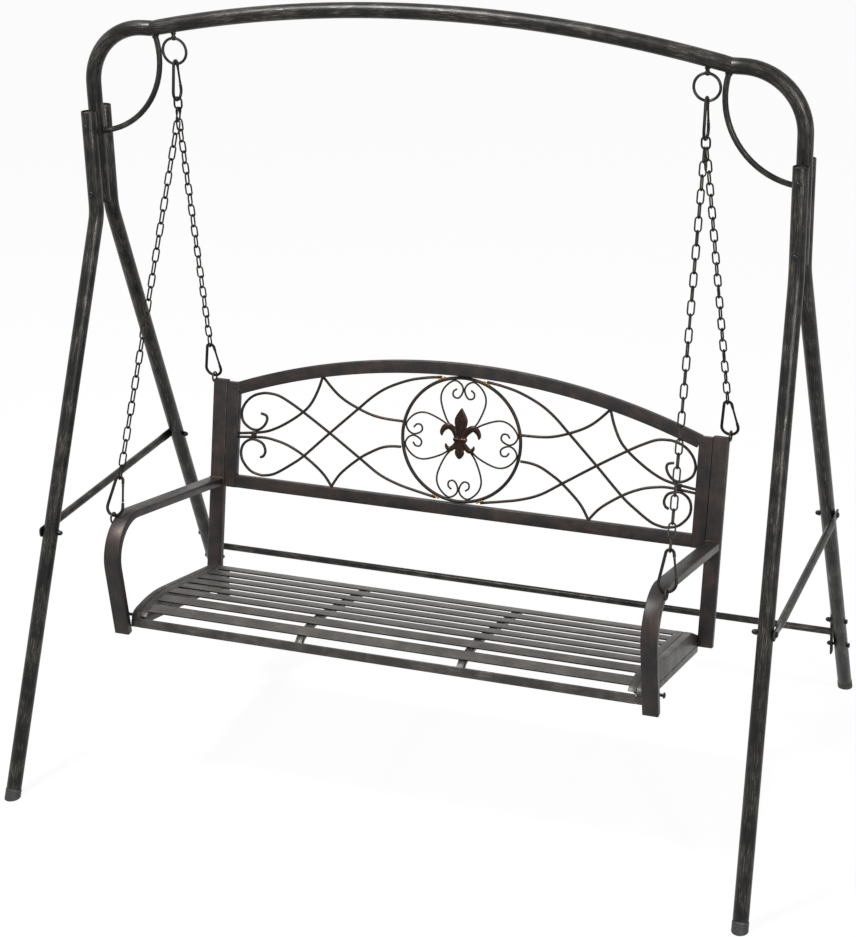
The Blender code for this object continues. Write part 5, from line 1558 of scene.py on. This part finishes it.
body = new_body()
support_run = total - SEAT_NOSE_RADIUS - SEAT_FLAT_REACH
lengths = [SLAT_FIRST_INSET - SLAT_WIDTH / 3]
lengths += [SEAT_FLAT_REACH + support_run * step / SUPPORT_STEPS for step in range(SUPPORT_STEPS + 1)]
depth = SLAT_THICKNESS + SUPPORT_THICKNESS / 2 - WELD_SINK
tail = RAIL_BOTTOM_Z + FRONT_SLAT_HEIGHT - SUPPORT_THICKNESS / 2
slat_run = total - SLAT_FIRST_INSET - SLAT_LAST_INSET
for side in (-1, 1):
    path = [under_seat(side * SUPPORT_X, length, depth) for length in lengths]
    path.append(Vector((side * SUPPORT_X, front_y + SLAT_THICKNESS, tail)))
    sweep(body, path, box_section(SUPPORT_THICKNESS, SUPPORT_WIDTH, SUPPORT_EDGE), SIDEWAYS)
    for index in range(SLAT_COUNT):
        y, z = seat_curve(SLAT_FIRST_INSET + slat_run * index / (SLAT_COUNT - 1))
        for edge in (-1, 1):
            spot_x = side * SUPPORT_X + edge * SUPPORT_WIDTH / 2
            spot = Vector((spot_x, y, z - SLAT_THICKNESS - SUPPORT_SPOT_DROP))
            weld_spot(body, spot, SUPPORT_SPOT_SIZE)
bench_piece("seat_supports", body, STAND_COAT, ())

body = new_body()
half = RAIL_INNER_X - FIT_GAP
height = RAIL_BOTTOM_Z + FRONT_SLAT_HEIGHT / 2
run = [Vector((x, front_y + SLAT_THICKNESS / 2, height)) for x in (-half, half)]
sweep(body, run, box_section(SLAT_THICKNESS, FRONT_SLAT_HEIGHT, FRONT_SLAT_EDGE), UP)
bench_piece("front_slat", body, SEAT_COAT)
print("the strips run", round(strip_run, 4), "m along the seat")

# %% Bolts of the bench
places = []
for label, side in SIDES:
    y = front_y + FRONT_BOLT_INSET
    start = BENCH @ Vector((side * POST_OUTER_X, y, RAIL_BOTTOM_Z + FRONT_BOLT_DROP))
    places.append((start, (-side, 0, 0), POST_OUTER_X - RAIL_INNER_X + FIT_GAP))
make_bolts("bench_bolts", places, "bench", ["front_bolt_L", "front_bolt_R"])
print("bolts on the bench:", len(places))

# %% [markdown]
# ## The back: frame, lattice and medallion
#
# The back is a frame of the same flat tube, with an arched top rail, filled with bent round bar.
# The bars cross in long bows, curl into scrolls at the sides and lie against a ring in the
# middle. They are cold bent by hand over a jig, so a smooth line through a few chosen points
# gives the same easy curves. The points are shares of the opening, so they follow its size.

# %% Back frame
BACK_CORNER = 2.6 * MM
BACK_RAIL_SINK = 0.8 * MM
BOW_STEPS = 64
BOW_OVERLAP = 1 * MM


def bow_height(top, x):
    """Height of the back's arched line at x, for the line whose crown is at top."""
    radius = BACK_ARC_RADIUS - (BACK_TOP_Z - top)
    return top - radius + math.sqrt(radius ** 2 - x ** 2)


middle_y = BACK_DEPTH / 2
stile_top = bow_height(BACK_TOP_Z, OPENING_HALF_WIDTH + STILE_WIDTH / 3)
body = new_body()
rail_middle = BACK_TOP_Z - BACK_RAIL_HEIGHT / 2
bow = []
for step in range(BOW_STEPS + 1):
    x = (OPENING_HALF_WIDTH + BOW_OVERLAP) * (2 * step / BOW_STEPS - 1)
    bow.append(Vector((x, middle_y, bow_height(rail_middle, x))))
rail_section = box_section(BACK_RAIL_HEIGHT, BACK_DEPTH - BACK_RAIL_SINK, BACK_CORNER)
sweep(body, bow, rail_section, FRONTWARD)
foot_z = OPENING_BOTTOM_Z - BACK_RAIL_HEIGHT
low = OPENING_BOTTOM_Z - BACK_RAIL_HEIGHT / 2
run = [Vector((x, middle_y, low)) for x in (-OPENING_HALF_WIDTH, OPENING_HALF_WIDTH)]
sweep(body, run, rail_section, FRONTWARD)
for side in (-1, 1):
    x = side * (OPENING_HALF_WIDTH + STILE_WIDTH / 2)
    run = [Vector((x, middle_y, foot_z)), Vector((x, middle_y, stile_top))]
    sweep(body, run, box_section(STILE_WIDTH, BACK_DEPTH, BACK_CORNER), FRONTWARD)
bench_piece("back_frame", body, BENCH_COAT)
print("stiles reach", round(stile_top, 4), "m, top rail crown", BACK_TOP_Z)

# %% Places in the opening
# Lattice wires: (share of the opening's half width, share of the opening's height there)
UPPER_SCROLL_SHARES = (
    (0.902, 0.723), (0.878, 0.690), (0.873, 0.641), (0.886, 0.578), (0.912, 0.540), (0.945, 0.559),
    (0.978, 0.639), (0.990, 0.724), (0.989, 0.806), (0.972, 0.888), (0.940, 0.940), (0.900, 0.946),
    (0.866, 0.927), (0.825, 0.885), (0.778, 0.809), (0.709, 0.689), (0.584, 0.484), (0.444, 0.276),
    (0.353, 0.155), (0.269, 0.092), (0.185, 0.055))
LOWER_SCROLL_SHARES = (
    (0.896, 0.229), (0.881, 0.248), (0.874, 0.304), (0.887, 0.380), (0.919, 0.426), (0.946, 0.433),
    (0.974, 0.389), (0.986, 0.300), (0.978, 0.185), (0.942, 0.072), (0.898, 0.033), (0.865, 0.035),
    (0.822, 0.068), (0.756, 0.166), (0.697, 0.264), (0.584, 0.484), (0.466, 0.690), (0.395, 0.807),
    (0.329, 0.882), (0.241, 0.940), (0.165, 0.966))
UPPER_BRANCH_SHARES = (
    (0.622, 1.035), (0.644, 0.890), (0.674, 0.764), (0.709, 0.689), (0.763, 0.613), (0.828, 0.544),
    (0.892, 0.511), (1.01, 0.521))
LOWER_BRANCH_SHARES = (
    (0.556, -0.022), (0.610, 0.118), (0.697, 0.264), (0.771, 0.361), (0.832, 0.416), (0.892, 0.451),
    (1.01, 0.475))
UPPER_LINK_SHARES = (
    (0.640, 1.044), (0.573, 0.869), (0.525, 0.780), (0.466, 0.708), (0.401, 0.650), (0.338, 0.621),
    (0.24, 0.604))
LOWER_LINK_SHARES = (
    (0.572, -0.022), (0.525, 0.131), (0.444, 0.276), (0.390, 0.341), (0.346, 0.381), (0.302, 0.398),
    (0.24, 0.400))
COLLAR_SHARES = (0.930, 0.489)
COLLAR_LENGTH = 12 * MM
COLLAR_HEIGHT = 17 * MM
COLLAR_DEPTH = 11 * MM

# One medallion scroll: (sideways, along the pair's axis), as shares of the ring's inner radius
HEART_SCROLL_SHARES = (
    (0.0, 0.016), (0.144, 0.158), (0.280, 0.335), (0.388, 0.630), (0.345, 0.830), (0.186, 0.970),
    (0.065, 0.935), (0.012, 0.840), (0.045, 0.735), (0.103, 0.689), (0.175, 0.715), (0.180, 0.790),
    (0.122, 0.840))
print("points in the scroll tables:", len(UPPER_SCROLL_SHARES) + len(LOWER_SCROLL_SHARES))

# %% Lattice wires
def opening_point(across, up, side):
    """A place in the back's opening, from shares of its half width and of its height there."""
    x = side * across * OPENING_HALF_WIDTH
    height = bow_height(OPENING_TOP_Z, x) - OPENING_BOTTOM_Z
    return x, OPENING_BOTTOM_Z + up * height


def lattice_run(shares, side, stagger):
    """A lattice wire's points in the bench frame from shares of the opening."""
    depth = BACK_DEPTH / 2 + stagger * LATTICE_STAGGER
    run = []
    for across, up in shares:
        x, z = opening_point(across, up, side)
        run.append(Vector((x, depth, z)))
    return run


def ring_touch(side, vertical, stagger):
    """The end of a scroll wire, lying against the medallion's ring."""
    radius = MEDALLION_RADIUS + LATTICE_WIRE / 2 + FIT_GAP
    height = MEDALLION_Z + vertical * math.sqrt(radius ** 2 - WIRE_END_X ** 2)
    return Vector((side * WIRE_END_X, BACK_DEPTH / 2 + stagger * LATTICE_STAGGER, height))


def trimmed(path):
    """Drop the points of a wire that lie inside the medallion's ring."""
    middle = Vector((0, BACK_DEPTH / 2, MEDALLION_Z))
    return [point for point in path if (point - middle).length > MEDALLION_RADIUS - MEDALLION_WIRE / 2]


wires = (
    (UPPER_SCROLL_SHARES, 1, -1), (LOWER_SCROLL_SHARES, -1, 1), (UPPER_BRANCH_SHARES, -1, 0),
    (LOWER_BRANCH_SHARES, 1, 0), (UPPER_LINK_SHARES, 1, 0), (LOWER_LINK_SHARES, -1, 0))
for label, side in SIDES:
    body = new_body()
    for shares, stagger, vertical in wires:
        points = lattice_run(shares, side, stagger)
        if vertical:
            points.append(ring_touch(side, vertical, stagger))
        sweep(body, trimmed(smooth_path(points)), round_section(LATTICE_WIRE / 2, 14), FRONTWARD)
    x, z = opening_point(*COLLAR_SHARES, side)
    collar = pressed_section(COLLAR_HEIGHT, COLLAR_DEPTH, 5)
    run = [Vector((x + across * COLLAR_LENGTH / 2, middle_y, z)) for across in (-1, 1)]
    sweep(body, run, collar, FRONTWARD)
    bench_piece("lattice_" + label, body, WIRE_COAT)
print("wires on a side:", len(wires))

# %% [markdown]
# ### The medallion
#
# A ring with four pairs of scrolls. One scroll is drawn once and then mirrored and turned, as the
# maker bends all eight on the same jig. Where the lattice touches the ring, the weld was left
# brassy, which the photograph shows as bright spots.

# %% Medallion ring and scrolls
HUB_RADIUS = 9 * MM
HUB_THICKNESS = (SCROLL_WIRE / 2 + SCROLL_STAGGER * 2) * 2
HUB_EDGE = 1 * MM
BRASS_SPACING = 7 * MM
BRASS_FORWARD = 2 * MM
BRASS_SIZE = 6.2 * MM


def heart_scroll(turn, mirror):
    """Points of one medallion scroll, turned about the ring's middle."""
    reach = MEDALLION_RADIUS - MEDALLION_WIRE
    spin = Matrix.Rotation(math.radians(turn), 2)
    run = []
    for across, along in HEART_SCROLL_SHARES:
        x, z = spin @ Vector((mirror * across * reach, along * reach))
        run.append(Vector((x, BACK_DEPTH / 2 + mirror * SCROLL_STAGGER, MEDALLION_Z + z)))
    return run


body = new_body()
loop = circle((0, MEDALLION_Z), MEDALLION_RADIUS - MEDALLION_WIRE / 2, 120)
ring = [Vector((x, middle_y, z)) for x, z in loop]
sweep(body, ring, round_section(MEDALLION_WIRE / 2, 14), FRONTWARD, cyclic=True)
for mirror in (-1, 1):
    for turn in (0, 90, 180, 270):
        path = smooth_path(heart_scroll(turn, mirror))
        sweep(body, path, round_section(SCROLL_WIRE / 2, 12), FRONTWARD)
hub_place = frame_at((0, middle_y, MEDALLION_Z), FRONTWARD, UP)
slab(body, circle((0, 0), HUB_RADIUS, 20), HUB_THICKNESS, hub_place, HUB_EDGE)
bench_piece("medallion", body, WIRE_COAT)

welds = new_body()
for side in (-1, 1):
    for vertical in (-1, 1):
        spot = ring_touch(side, vertical, 0)
        inward = (Vector((0, middle_y, MEDALLION_Z)) - spot).normalized()
        along = inward.cross(FRONTWARD)
        touch = spot + inward * LATTICE_WIRE * 0.5
        for offset in (-BRASS_SPACING, 0, BRASS_SPACING):
            weld_spot(welds, touch + along * offset + FRONTWARD * BRASS_FORWARD, BRASS_SIZE)
bench_piece("medallion_welds", welds, WELD_BRASS, ())
print("medallion radius", round(MEDALLION_RADIUS, 4), "m")

# %% [markdown]
# ### The fleur-de-lis
#
# A cast ornament, screwed or welded over the place where the scrolls meet. A casting has full,
# softly rounded forms: a pointed middle petal with a ridge, two drooping side petals, a band,
# two curled feet and a small lower point. Each form is a sweep whose section changes from point
# to point, a little like clay rolled between the fingers. A voxel remesh then melts them into
# one skin, and a light smoothing takes off the steps, as a casting in sand would.

# %% Petals
FLEUR_SCALE = MEDALLION_RADIUS
FLEUR_VOXEL = 1.1 * MM
fleur_y = BACK_DEPTH / 2 - SCROLL_WIRE / 2 - SCROLL_STAGGER * 2 - FIT_GAP - FLEUR_THICKNESS / 2
MIDDLE_PETAL_SHARES = (
    (0.02, 0.075, 0.055), (0.08, 0.070, 0.062), (0.15, 0.078, 0.066), (0.21, 0.096, 0.070),
    (0.28, 0.112, 0.070), (0.34, 0.108, 0.066), (0.40, 0.082, 0.056), (0.46, 0.046, 0.042),
    (0.50, 0.018, 0.026), (0.518, 0.005, 0.010))
LOWER_POINT_SHARES = (
    (0.02, 0.070, 0.055), (-0.06, 0.062, 0.056), (-0.13, 0.070, 0.058), (-0.19, 0.082, 0.056),
    (-0.23, 0.072, 0.050), (-0.27, 0.045, 0.040), (-0.295, 0.014, 0.018))
SIDE_PETAL_SHARES = (
    (0.060, 0.030, 0.034, 0.050), (0.088, 0.100, 0.040, 0.052), (0.120, 0.160, 0.046, 0.054),
    (0.165, 0.198, 0.050, 0.056), (0.215, 0.206, 0.052, 0.056), (0.262, 0.182, 0.050, 0.054),
    (0.295, 0.138, 0.042, 0.050), (0.308, 0.098, 0.034, 0.044), (0.304, 0.064, 0.022, 0.032),
    (0.292, 0.048, 0.008, 0.014))
FOOT_SHARES = (
    (0.050, -0.020, 0.030, 0.048), (0.075, -0.068, 0.036, 0.050), (0.105, -0.112, 0.040, 0.052),
    (0.145, -0.145, 0.042, 0.050), (0.188, -0.146, 0.038, 0.048), (0.218, -0.120, 0.030, 0.042),
    (0.230, -0.086, 0.020, 0.032), (0.226, -0.062, 0.008, 0.014))
# The band and its two rims: half length, height and depth, and how high each lies
BAND_SHARES = (0.112, 0.050, 0.072)
BAND_HEIGHT = 0.014
RIM_SHARES = (0.098, 0.018, 0.060)
RIM_HEIGHTS = (-0.020, 0.048)
THINNEST_WIDTH = 0.004
THINNEST_DEPTH = 0.006
MIDDLE_POWER = 1.5
SIDE_POWER = 1.7
BAND_POWER = 2.4
RIM_POWER = 2


def fleur_point(x, z):
    """A point in the ornament's middle plane, from shares of its scale."""
    return Vector((x * FLEUR_SCALE, fleur_y, MEDALLION_Z + z * FLEUR_SCALE))


def petal(body, centres, widths, thicknesses, power):
    """One form of the ornament: a smooth line with a section of its own at every point."""
    path = smooth_path([fleur_point(x, z) for x, z in centres])
    sizes = smooth_path([Vector((width, thick, 0)) for width, thick in zip(widths, thicknesses)])
    sections = []
    for size in sizes:
        width = max(size.x, THINNEST_WIDTH) * FLEUR_SCALE * 2
        thick = max(size.y, THINNEST_DEPTH) * FLEUR_SCALE
        sections.append(pressed_section(width, thick, power, 20))
    sweep(body, path, sections, FRONTWARD)


def cross_bar(body, height, shares, power, sides):
    """A level bar across the ornament, from its half length, height and depth as shares."""
    half, tall, deep = shares
    section = pressed_section(tall * FLEUR_SCALE, deep * FLEUR_SCALE, power, sides)
    sweep(body, [fleur_point(-half, height), fleur_point(half, height)], section, FRONTWARD)


body = new_body()
for shares in (MIDDLE_PETAL_SHARES, LOWER_POINT_SHARES):
    heights, widths, depths = zip(*shares)
    petal(body, [(0, z) for z in heights], widths, depths, MIDDLE_POWER)
for mirror in (-1, 1):
    for shares in (SIDE_PETAL_SHARES, FOOT_SHARES):
        reaches, heights, widths, depths = zip(*shares)
        centres = [(mirror * x, z) for x, z in zip(reaches, heights)]
        petal(body, centres, widths, depths, SIDE_POWER)
cross_bar(body, BAND_HEIGHT, BAND_SHARES, BAND_POWER, 20)
for height in RIM_HEIGHTS:
    cross_bar(body, height, RIM_SHARES, RIM_POWER, 16)
print("fleur-de-lis before the remesh:", len(body.verts), "points")

# %% Melt the petals into one casting
MELT_SMOOTH = 0.5
MELT_ROUNDS = 3
carrier = bpy.data.objects.new("fleur_forms", to_mesh("fleur_forms", body))
bpy.context.scene.collection.objects.link(carrier)
remesh = carrier.modifiers.new("melt", "REMESH")
remesh.mode = "VOXEL"
remesh.voxel_size = FLEUR_VOXEL
smooth = carrier.modifiers.new("soften", "SMOOTH")
smooth.factor = MELT_SMOOTH
smooth.iterations = MELT_ROUNDS
bpy.context.view_layer.update()
casting = bpy.data.meshes.new_from_object(carrier.evaluated_get(bpy.context.evaluated_depsgraph_get()))
bpy.data.objects.remove(carrier, do_unlink=True)
flow = casting.attributes.new("flow", "FLOAT_VECTOR", "POINT")
for vertex, value in zip(casting.vertices, flow.data):
    value.vector = (vertex.co.z, vertex.co.x, vertex.co.y)
casting.transform(BENCH)
finish_piece("bench_fleur_de_lis", casting, CAST_COAT, "bench", ["fleur_de_lis"])
print("fleur-de-lis:", len(casting.vertices), "points")

# %% [markdown]
# ## Chains, snap hooks and their gates
#
# Each side of the bench hangs from one pear-shaped snap hook on the stand's ring. Under it a
# larger link gathers two chains, which run down to the armrest and to the post and end in a
# snap hook each. The chain is one link copied along a line and turned by a quarter each time,
# which a Geometry Nodes tree does with a count, a step and a turn. Real chain never hangs quite
# true, so every link also gets a small twist of its own from a fixed seed.

# %% Where the hanging parts bear
def hook_lean():
    """Angle between the hook's straight sides and its middle line, in degrees."""
    length = HOOK_SPAN - HOOK_NARROW_RADIUS - HOOK_WIDE_RADIUS
    return math.degrees(math.asin((HOOK_WIDE_RADIUS - HOOK_NARROW_RADIUS) / length))


def wire_reach(diameter, sides):
    """How far the flats of a solid's wire lie from its centre line."""
    return diameter / 2 * math.cos(math.pi / sides)


def seat_step(first, second):
    """Distance between two wires' centre lines where one hangs in the other in the solids."""
    total = FIT_GAP
    for (diameter, sides, turn), (other, other_sides, _) in ((first, second), (second, first)):
        half = math.radians(turn) / 2
        flat = other / 2 * math.sin(math.pi / other_sides)
        total += wire_reach(diameter, sides) / math.cos(half) + flat * math.tan(half)
    return total


WIRES = {
    "ring": (RING_WIRE, 6, 360 / RING_STEPS),
    "eye": (EYE_WIRE, 6, 360 / EYE_STEPS),
    "hook_narrow": (HOOK_WIRE, 6, (180 - 2 * hook_lean()) / HOOK_STEPS),
    "hook_wide": (HOOK_WIRE, 6, (180 + 2 * hook_lean()) / HOOK_STEPS),
    "apex": (APEX_WIRE, 6, 0),
    "link": (LINK_WIRE, 4, 0),
}
PIVOT_Z = RING_CENTRE_Z - RING_RADIUS + RING_WIRE / 2
HOOK_TOP_Z = PIVOT_Z + seat_step(WIRES["ring"], WIRES["hook_narrow"])
HOOK_BOTTOM_Z = HOOK_TOP_Z - HOOK_SPAN
APEX_SPAN = APEX_LENGTH - APEX_WIRE
APEX_BOTTOM_Z = HOOK_BOTTOM_Z + seat_step(WIRES["hook_wide"], WIRES["apex"]) - APEX_SPAN
print("the bench swings about a line at", round(PIVOT_Z, 4), "m")

# %% Hook and gate
HOOK_COAT_INSET = 0.2 * MM
# The gate's stations: shares of its radius near its pin, then of its length, each with a width
GATE_PIN_END = ((-0.9, 0.55), (-0.5, 0.85), (0, 1))
GATE_BAR = ((0.12, 1), (0.16, 0.9), (0.84, 0.9), (0.88, 1), (1, 1))
PIN_INSET = 0.3 * MM
PIN_RADIUS = 1.3 * MM


def hook_outline():
    """Centre line of a pear hook from one end of its gate round to the other, wide end down."""
    low = (0, HOOK_WIDE_RADIUS)
    high = (0, HOOK_SPAN - HOOK_NARROW_RADIUS)
    lean = hook_lean()
    top_arc = arc(high, HOOK_NARROW_RADIUS, lean, 180 - lean, 18)
    low_arc = arc(low, HOOK_WIDE_RADIUS, 180 - lean, 360 + lean, 26)
    gate_low = Vector(low_arc[-1]).lerp(Vector(top_arc[0]), GATE_LOW_SHARE)
    gate_high = Vector(low_arc[-1]).lerp(Vector(top_arc[0]), GATE_HIGH_SHARE)
    return [tuple(gate_high), *top_arc, *low_arc, tuple(gate_low)], gate_low, gate_high


def add_hook(name, place):
    """A snap hook and its gate, which turns on a pin at its lower end."""
    outline, gate_low, gate_high = hook_outline()
    body = new_body()
    wire = round_section(HOOK_WIRE / 2 - HOOK_COAT_INSET, 16)
    sweep(body, [Vector((x, 0, z)) for x, z in outline], wire, REARWARD)
    bench_piece(name, body, CHAIN_COAT, place=place)
    radius = GATE_DIAMETER / 2
    along = Vector((gate_high.x - gate_low.x, 0, gate_high.y - gate_low.y)).normalized()
    pivot = Vector((gate_low.x, 0, gate_low.y)) + along * (FIT_GAP + radius)
    length = (Vector((gate_high.x, 0, gate_high.y)) - pivot).length - FIT_GAP
    stations = [(radius * reach, wide) for reach, wide in GATE_PIN_END]
    stations += [(length * reach, wide) for reach, wide in GATE_BAR]
    gate = new_body()
    path = [pivot + along * reach for reach, _ in stations]
    sweep(gate, path, [round_section(radius * wide, 16) for _, wide in stations], REARWARD)
    pin = [pivot + Vector((0, across * (HOOK_WIRE / 2 - PIN_INSET), 0)) for across in (-1, 1)]
    sweep(gate, pin, round_section(PIN_RADIUS, 10), along)
    gate_name = name + "_gate"
    piece_from("bench_" + gate_name, gate, CHAIN_COAT, gate_name, [gate_name], place)


def oval(length, width, steps):
    """Centre line of a link: two half circles joined by straight sides, long way along Z."""
    radius = width / 2
    half = length / 2 - radius
    loop = [(x, z + half) for x, z in arc((0, 0), radius, 0, 180, steps)]
    loop += [(x, z - half) for x, z in arc((0, 0), radius, 180, 360, steps)]
    return [Vector((x, 0, z)) for x, z in loop]


for label, side in SIDES:
    place = frame_at((side * RING_CENTRE_X, 0, HOOK_BOTTOM_Z), UP, REARWARD)
    add_hook("top_hook_" + label, place)
    body = new_body()
    loop = oval(APEX_SPAN, APEX_WIDTH - APEX_WIRE, 12)
    sweep(body, loop, round_section(APEX_WIRE / 2, 12), REARWARD, cyclic=True)
    shift = Matrix.Translation((side * RING_CENTRE_X, 0, APEX_BOTTOM_Z + APEX_SPAN / 2))
    bench_piece("apex_link_" + label, body, CHAIN_COAT, place=shift)
print("top hook from", round(HOOK_BOTTOM_Z, 4), "to", round(HOOK_TOP_Z, 4), "m")

# %% The chain tree
LINK_SEED = 11
LINK_TWIST = math.radians(5)
LINK_VISIBLE_WIRE = 4.3 * MM
LINK_BEARING = LINK_VISIBLE_WIRE * 0.9


def chain_tree():
    """Copies of a link on a straight line, each turned by a quarter from the one before."""
    tree, given = new_tree("links in a chain", [
        ("Count", "NodeSocketInt"), ("Start", "NodeSocketVector"), ("Step", "NodeSocketVector"),
        ("Direction", "NodeSocketVector"), ("Twist", "NodeSocketFloat"), ("Material", "NodeSocketMaterial")])
    points = add_node(tree, "GeometryNodeMeshLine", {"mode": "OFFSET"}, links={
        "Count": given["Count"], "Start Location": given["Start"], "Offset": given["Step"]})
    index = add_node(tree, "GeometryNodeInputIndex").outputs[0]
    quarter = add_math(tree, "MULTIPLY", index, math.pi / 2)
    lowest = add_math(tree, "MULTIPLY", given["Twist"], -1)
    twist = add_node(
        tree, "FunctionNodeRandomValue", {"data_type": "FLOAT"}, {"Seed": LINK_SEED},
        {2: lowest, 3: given["Twist"]})
    turn = add_math(tree, "ADD", quarter, twist.outputs[1])
    spin = add_node(
        tree, "FunctionNodeAxisAngleToRotation", values={"Axis": (0, 0, 1)}, links={"Angle": turn})
    lie = add_node(tree, "FunctionNodeEulerToRotation", links={"Euler": given["Direction"]})
    both = add_node(tree, "FunctionNodeRotateRotation", {"rotation_space": "LOCAL"}, links={
        "Rotation": lie.outputs[0], "Rotate By": spin.outputs[0]})
    placed = add_node(tree, "GeometryNodeInstanceOnPoints", links={
        "Points": points.outputs[0], "Instance": given["Geometry"], "Rotation": both.outputs[0]})
    close_tree(tree, placed.outputs[0], given["Material"])
    return tree


CHAIN_TREE = chain_tree()
print("chain tree has", len(CHAIN_TREE.nodes), "nodes")

# %% The four chains and their lower hooks
def make_chain(label, side, end_label, end, eye):
    """One chain of links from the apex link down to its hook."""
    start = Vector((side * RING_CENTRE_X + end * side * CHAIN_SIDE_STEP, 0, APEX_BOTTOM_Z))
    along = (eye - start).normalized()
    eye_room = (EYE_INNER_RADIUS + EYE_WIRE / 2) * math.cos(math.pi / EYE_STEPS)
    hook_bottom = eye - along * (eye_room - seat_step(WIRES["eye"], WIRES["hook_wide"]))
    hook_top = hook_bottom - along * HOOK_SPAN
    first = start - along * seat_step(WIRES["apex"], WIRES["link"])
    last = hook_top + along * seat_step(WIRES["hook_narrow"], WIRES["link"])
    span = (last - first).length
    count = 2 * round((span / LINK_PITCH - 1) / 2) + 1
    bearing_step = wire_reach(LINK_WIRE, 4) * 2 - LINK_SINK
    pitch = (span + (count - 1) * bearing_step) / count - bearing_step
    link = new_body()
    loop = oval(pitch + LINK_BEARING, LINK_WIDTH - LINK_WIRE, 6)
    sweep(link, loop, round_section(LINK_VISIBLE_WIRE / 2, 8), REARWARD, cyclic=True)
    sideways = (SIDEWAYS - along * along.x).normalized()
    deep = along.cross(sideways)
    centre = first + along * (pitch + bearing_step) / 2
    values = {
        "Count": count, "Start": centre, "Step": along * pitch,
        "Direction": frame_at(centre, along, deep).to_euler(), "Twist": LINK_TWIST,
        "Material": CHAIN_COAT}
    name = "chain_" + end_label + "_" + label
    chain = run_tree(CHAIN_TREE, to_mesh("link", link), values)
    finish_piece("bench_" + name, chain, CHAIN_COAT, "bench", [name])
    add_hook("hook_" + end_label + "_" + label, frame_at(hook_bottom, -along, SIDEWAYS))
    return count


counts = []
for label, side in SIDES:
    counts.append(make_chain(label, side, "front", -1, BENCH @ arm_eye(side)))
    counts.append(make_chain(label, side, "rear", 1, BENCH @ post_eye(side)))
print("links in the chains:", counts)

# %% [markdown]
# ## Floor and light
#
# The photograph is a catalogue picture: the bench stands in a white room with light from all
# sides and hardly a shadow. The floor is white to the camera and to reflections, and keeps a
# faint part of the bench's shadow so that the feet stand on something. Two square lamps give the
# tubes their long highlights: a strong one high up in front on the left, and a weaker one at the
# camera's height on its right.

# %% Floor
FLOOR_HALF = 30
FLOOR_SHADE = 0.06
FLOOR_ROUGHNESS = 0.9
WHITE = (1, 1, 1, 1)


def seen_by_camera(tree):
    """One for rays from the camera, from gloss and through glass, zero for light on its way."""
    rays = add_node(tree, "ShaderNodeLightPath").outputs
    seen = add_math(tree, "MAXIMUM", rays["Is Camera Ray"], rays["Is Glossy Ray"])
    return add_math(tree, "MAXIMUM", seen, rays["Is Transmission Ray"])


def white_stage():
    """Plain white floor that shows almost pure white, with a faint shadow."""
    material, tree = new_material("white_studio_floor")
    diffuse = tree.nodes["Principled BSDF"]
    diffuse.inputs["Base Color"].default_value = linear("f4f4f4")
    diffuse.inputs["Roughness"].default_value = FLOOR_ROUGHNESS
    share = add_math(tree, "MULTIPLY", seen_by_camera(tree), 1 - FLOOR_SHADE)
    glow = add_node(tree, "ShaderNodeEmission", values={"Color": WHITE, "Strength": 1})
    mixed = add_node(
        tree, "ShaderNodeMixShader", links={0: share, 1: diffuse.outputs[0], 2: glow.outputs[0]})
    tree.links.new(mixed.outputs[0], tree.nodes["Material Output"].inputs["Surface"])
    return material


floor_mesh = bpy.data.meshes.new("floor")
corners = [(x * FLOOR_HALF, y * FLOOR_HALF, 0) for x, y in ((-1, -1), (1, -1), (1, 1), (-1, 1))]
floor_mesh.from_pydata(corners, [], [(0, 1, 2, 3)])
floor_mesh.materials.append(white_stage())
floor = bpy.data.objects.new("floor", floor_mesh)
bpy.context.scene.collection.objects.link(floor)
print("floor", FLOOR_HALF * 2, "m square")

# %% World and lamps
WORLD_LIGHT = 0.34
LIT_POINT = Vector((0, 0, 0.9))
# Each lamp: place, side length in metres, power in watts
KEY_LAMP = ((-1.5, -1.7, 5.0), 0.9, 330)
FILL_LAMP = ((3.9, -4.0, 3.0), 0.8, 190)


def white_world():
    """Even light from all round, seen as white by the camera and by gloss."""
    world = bpy.data.worlds.new("white_room")
    bpy.context.scene.world = world
    world.use_nodes = True
    tree = world.node_tree
    room = tree.nodes["Background"]
    room.inputs["Color"].default_value = WHITE
    room.inputs["Strength"].default_value = WORLD_LIGHT
    white = add_node(tree, "ShaderNodeBackground", values={"Color": WHITE, "Strength": 1})
    mixed = add_node(tree, "ShaderNodeMixShader", links={
        0: seen_by_camera(tree), 1: room.outputs[0], 2: white.outputs[0]})
    tree.links.new(mixed.outputs[0], tree.nodes["World Output"].inputs["Surface"])


def soft_lamp(name, place, size, power):
    """A square lamp that points at the lit point in the bench's middle."""
    data = bpy.data.lights.new(name, "AREA")
    data.shape = "SQUARE"
    data.size = size
    data.energy = power
    lamp = bpy.data.objects.new(name, data)
    ahead = LIT_POINT - Vector(place)
    lamp.matrix_world = frame_at(place, -ahead, UP)
    bpy.context.scene.collection.objects.link(lamp)


white_world()
soft_lamp("key_lamp", *KEY_LAMP)
soft_lamp("fill_lamp", *FILL_LAMP)
bpy.context.scene.view_settings.view_transform = "Standard"
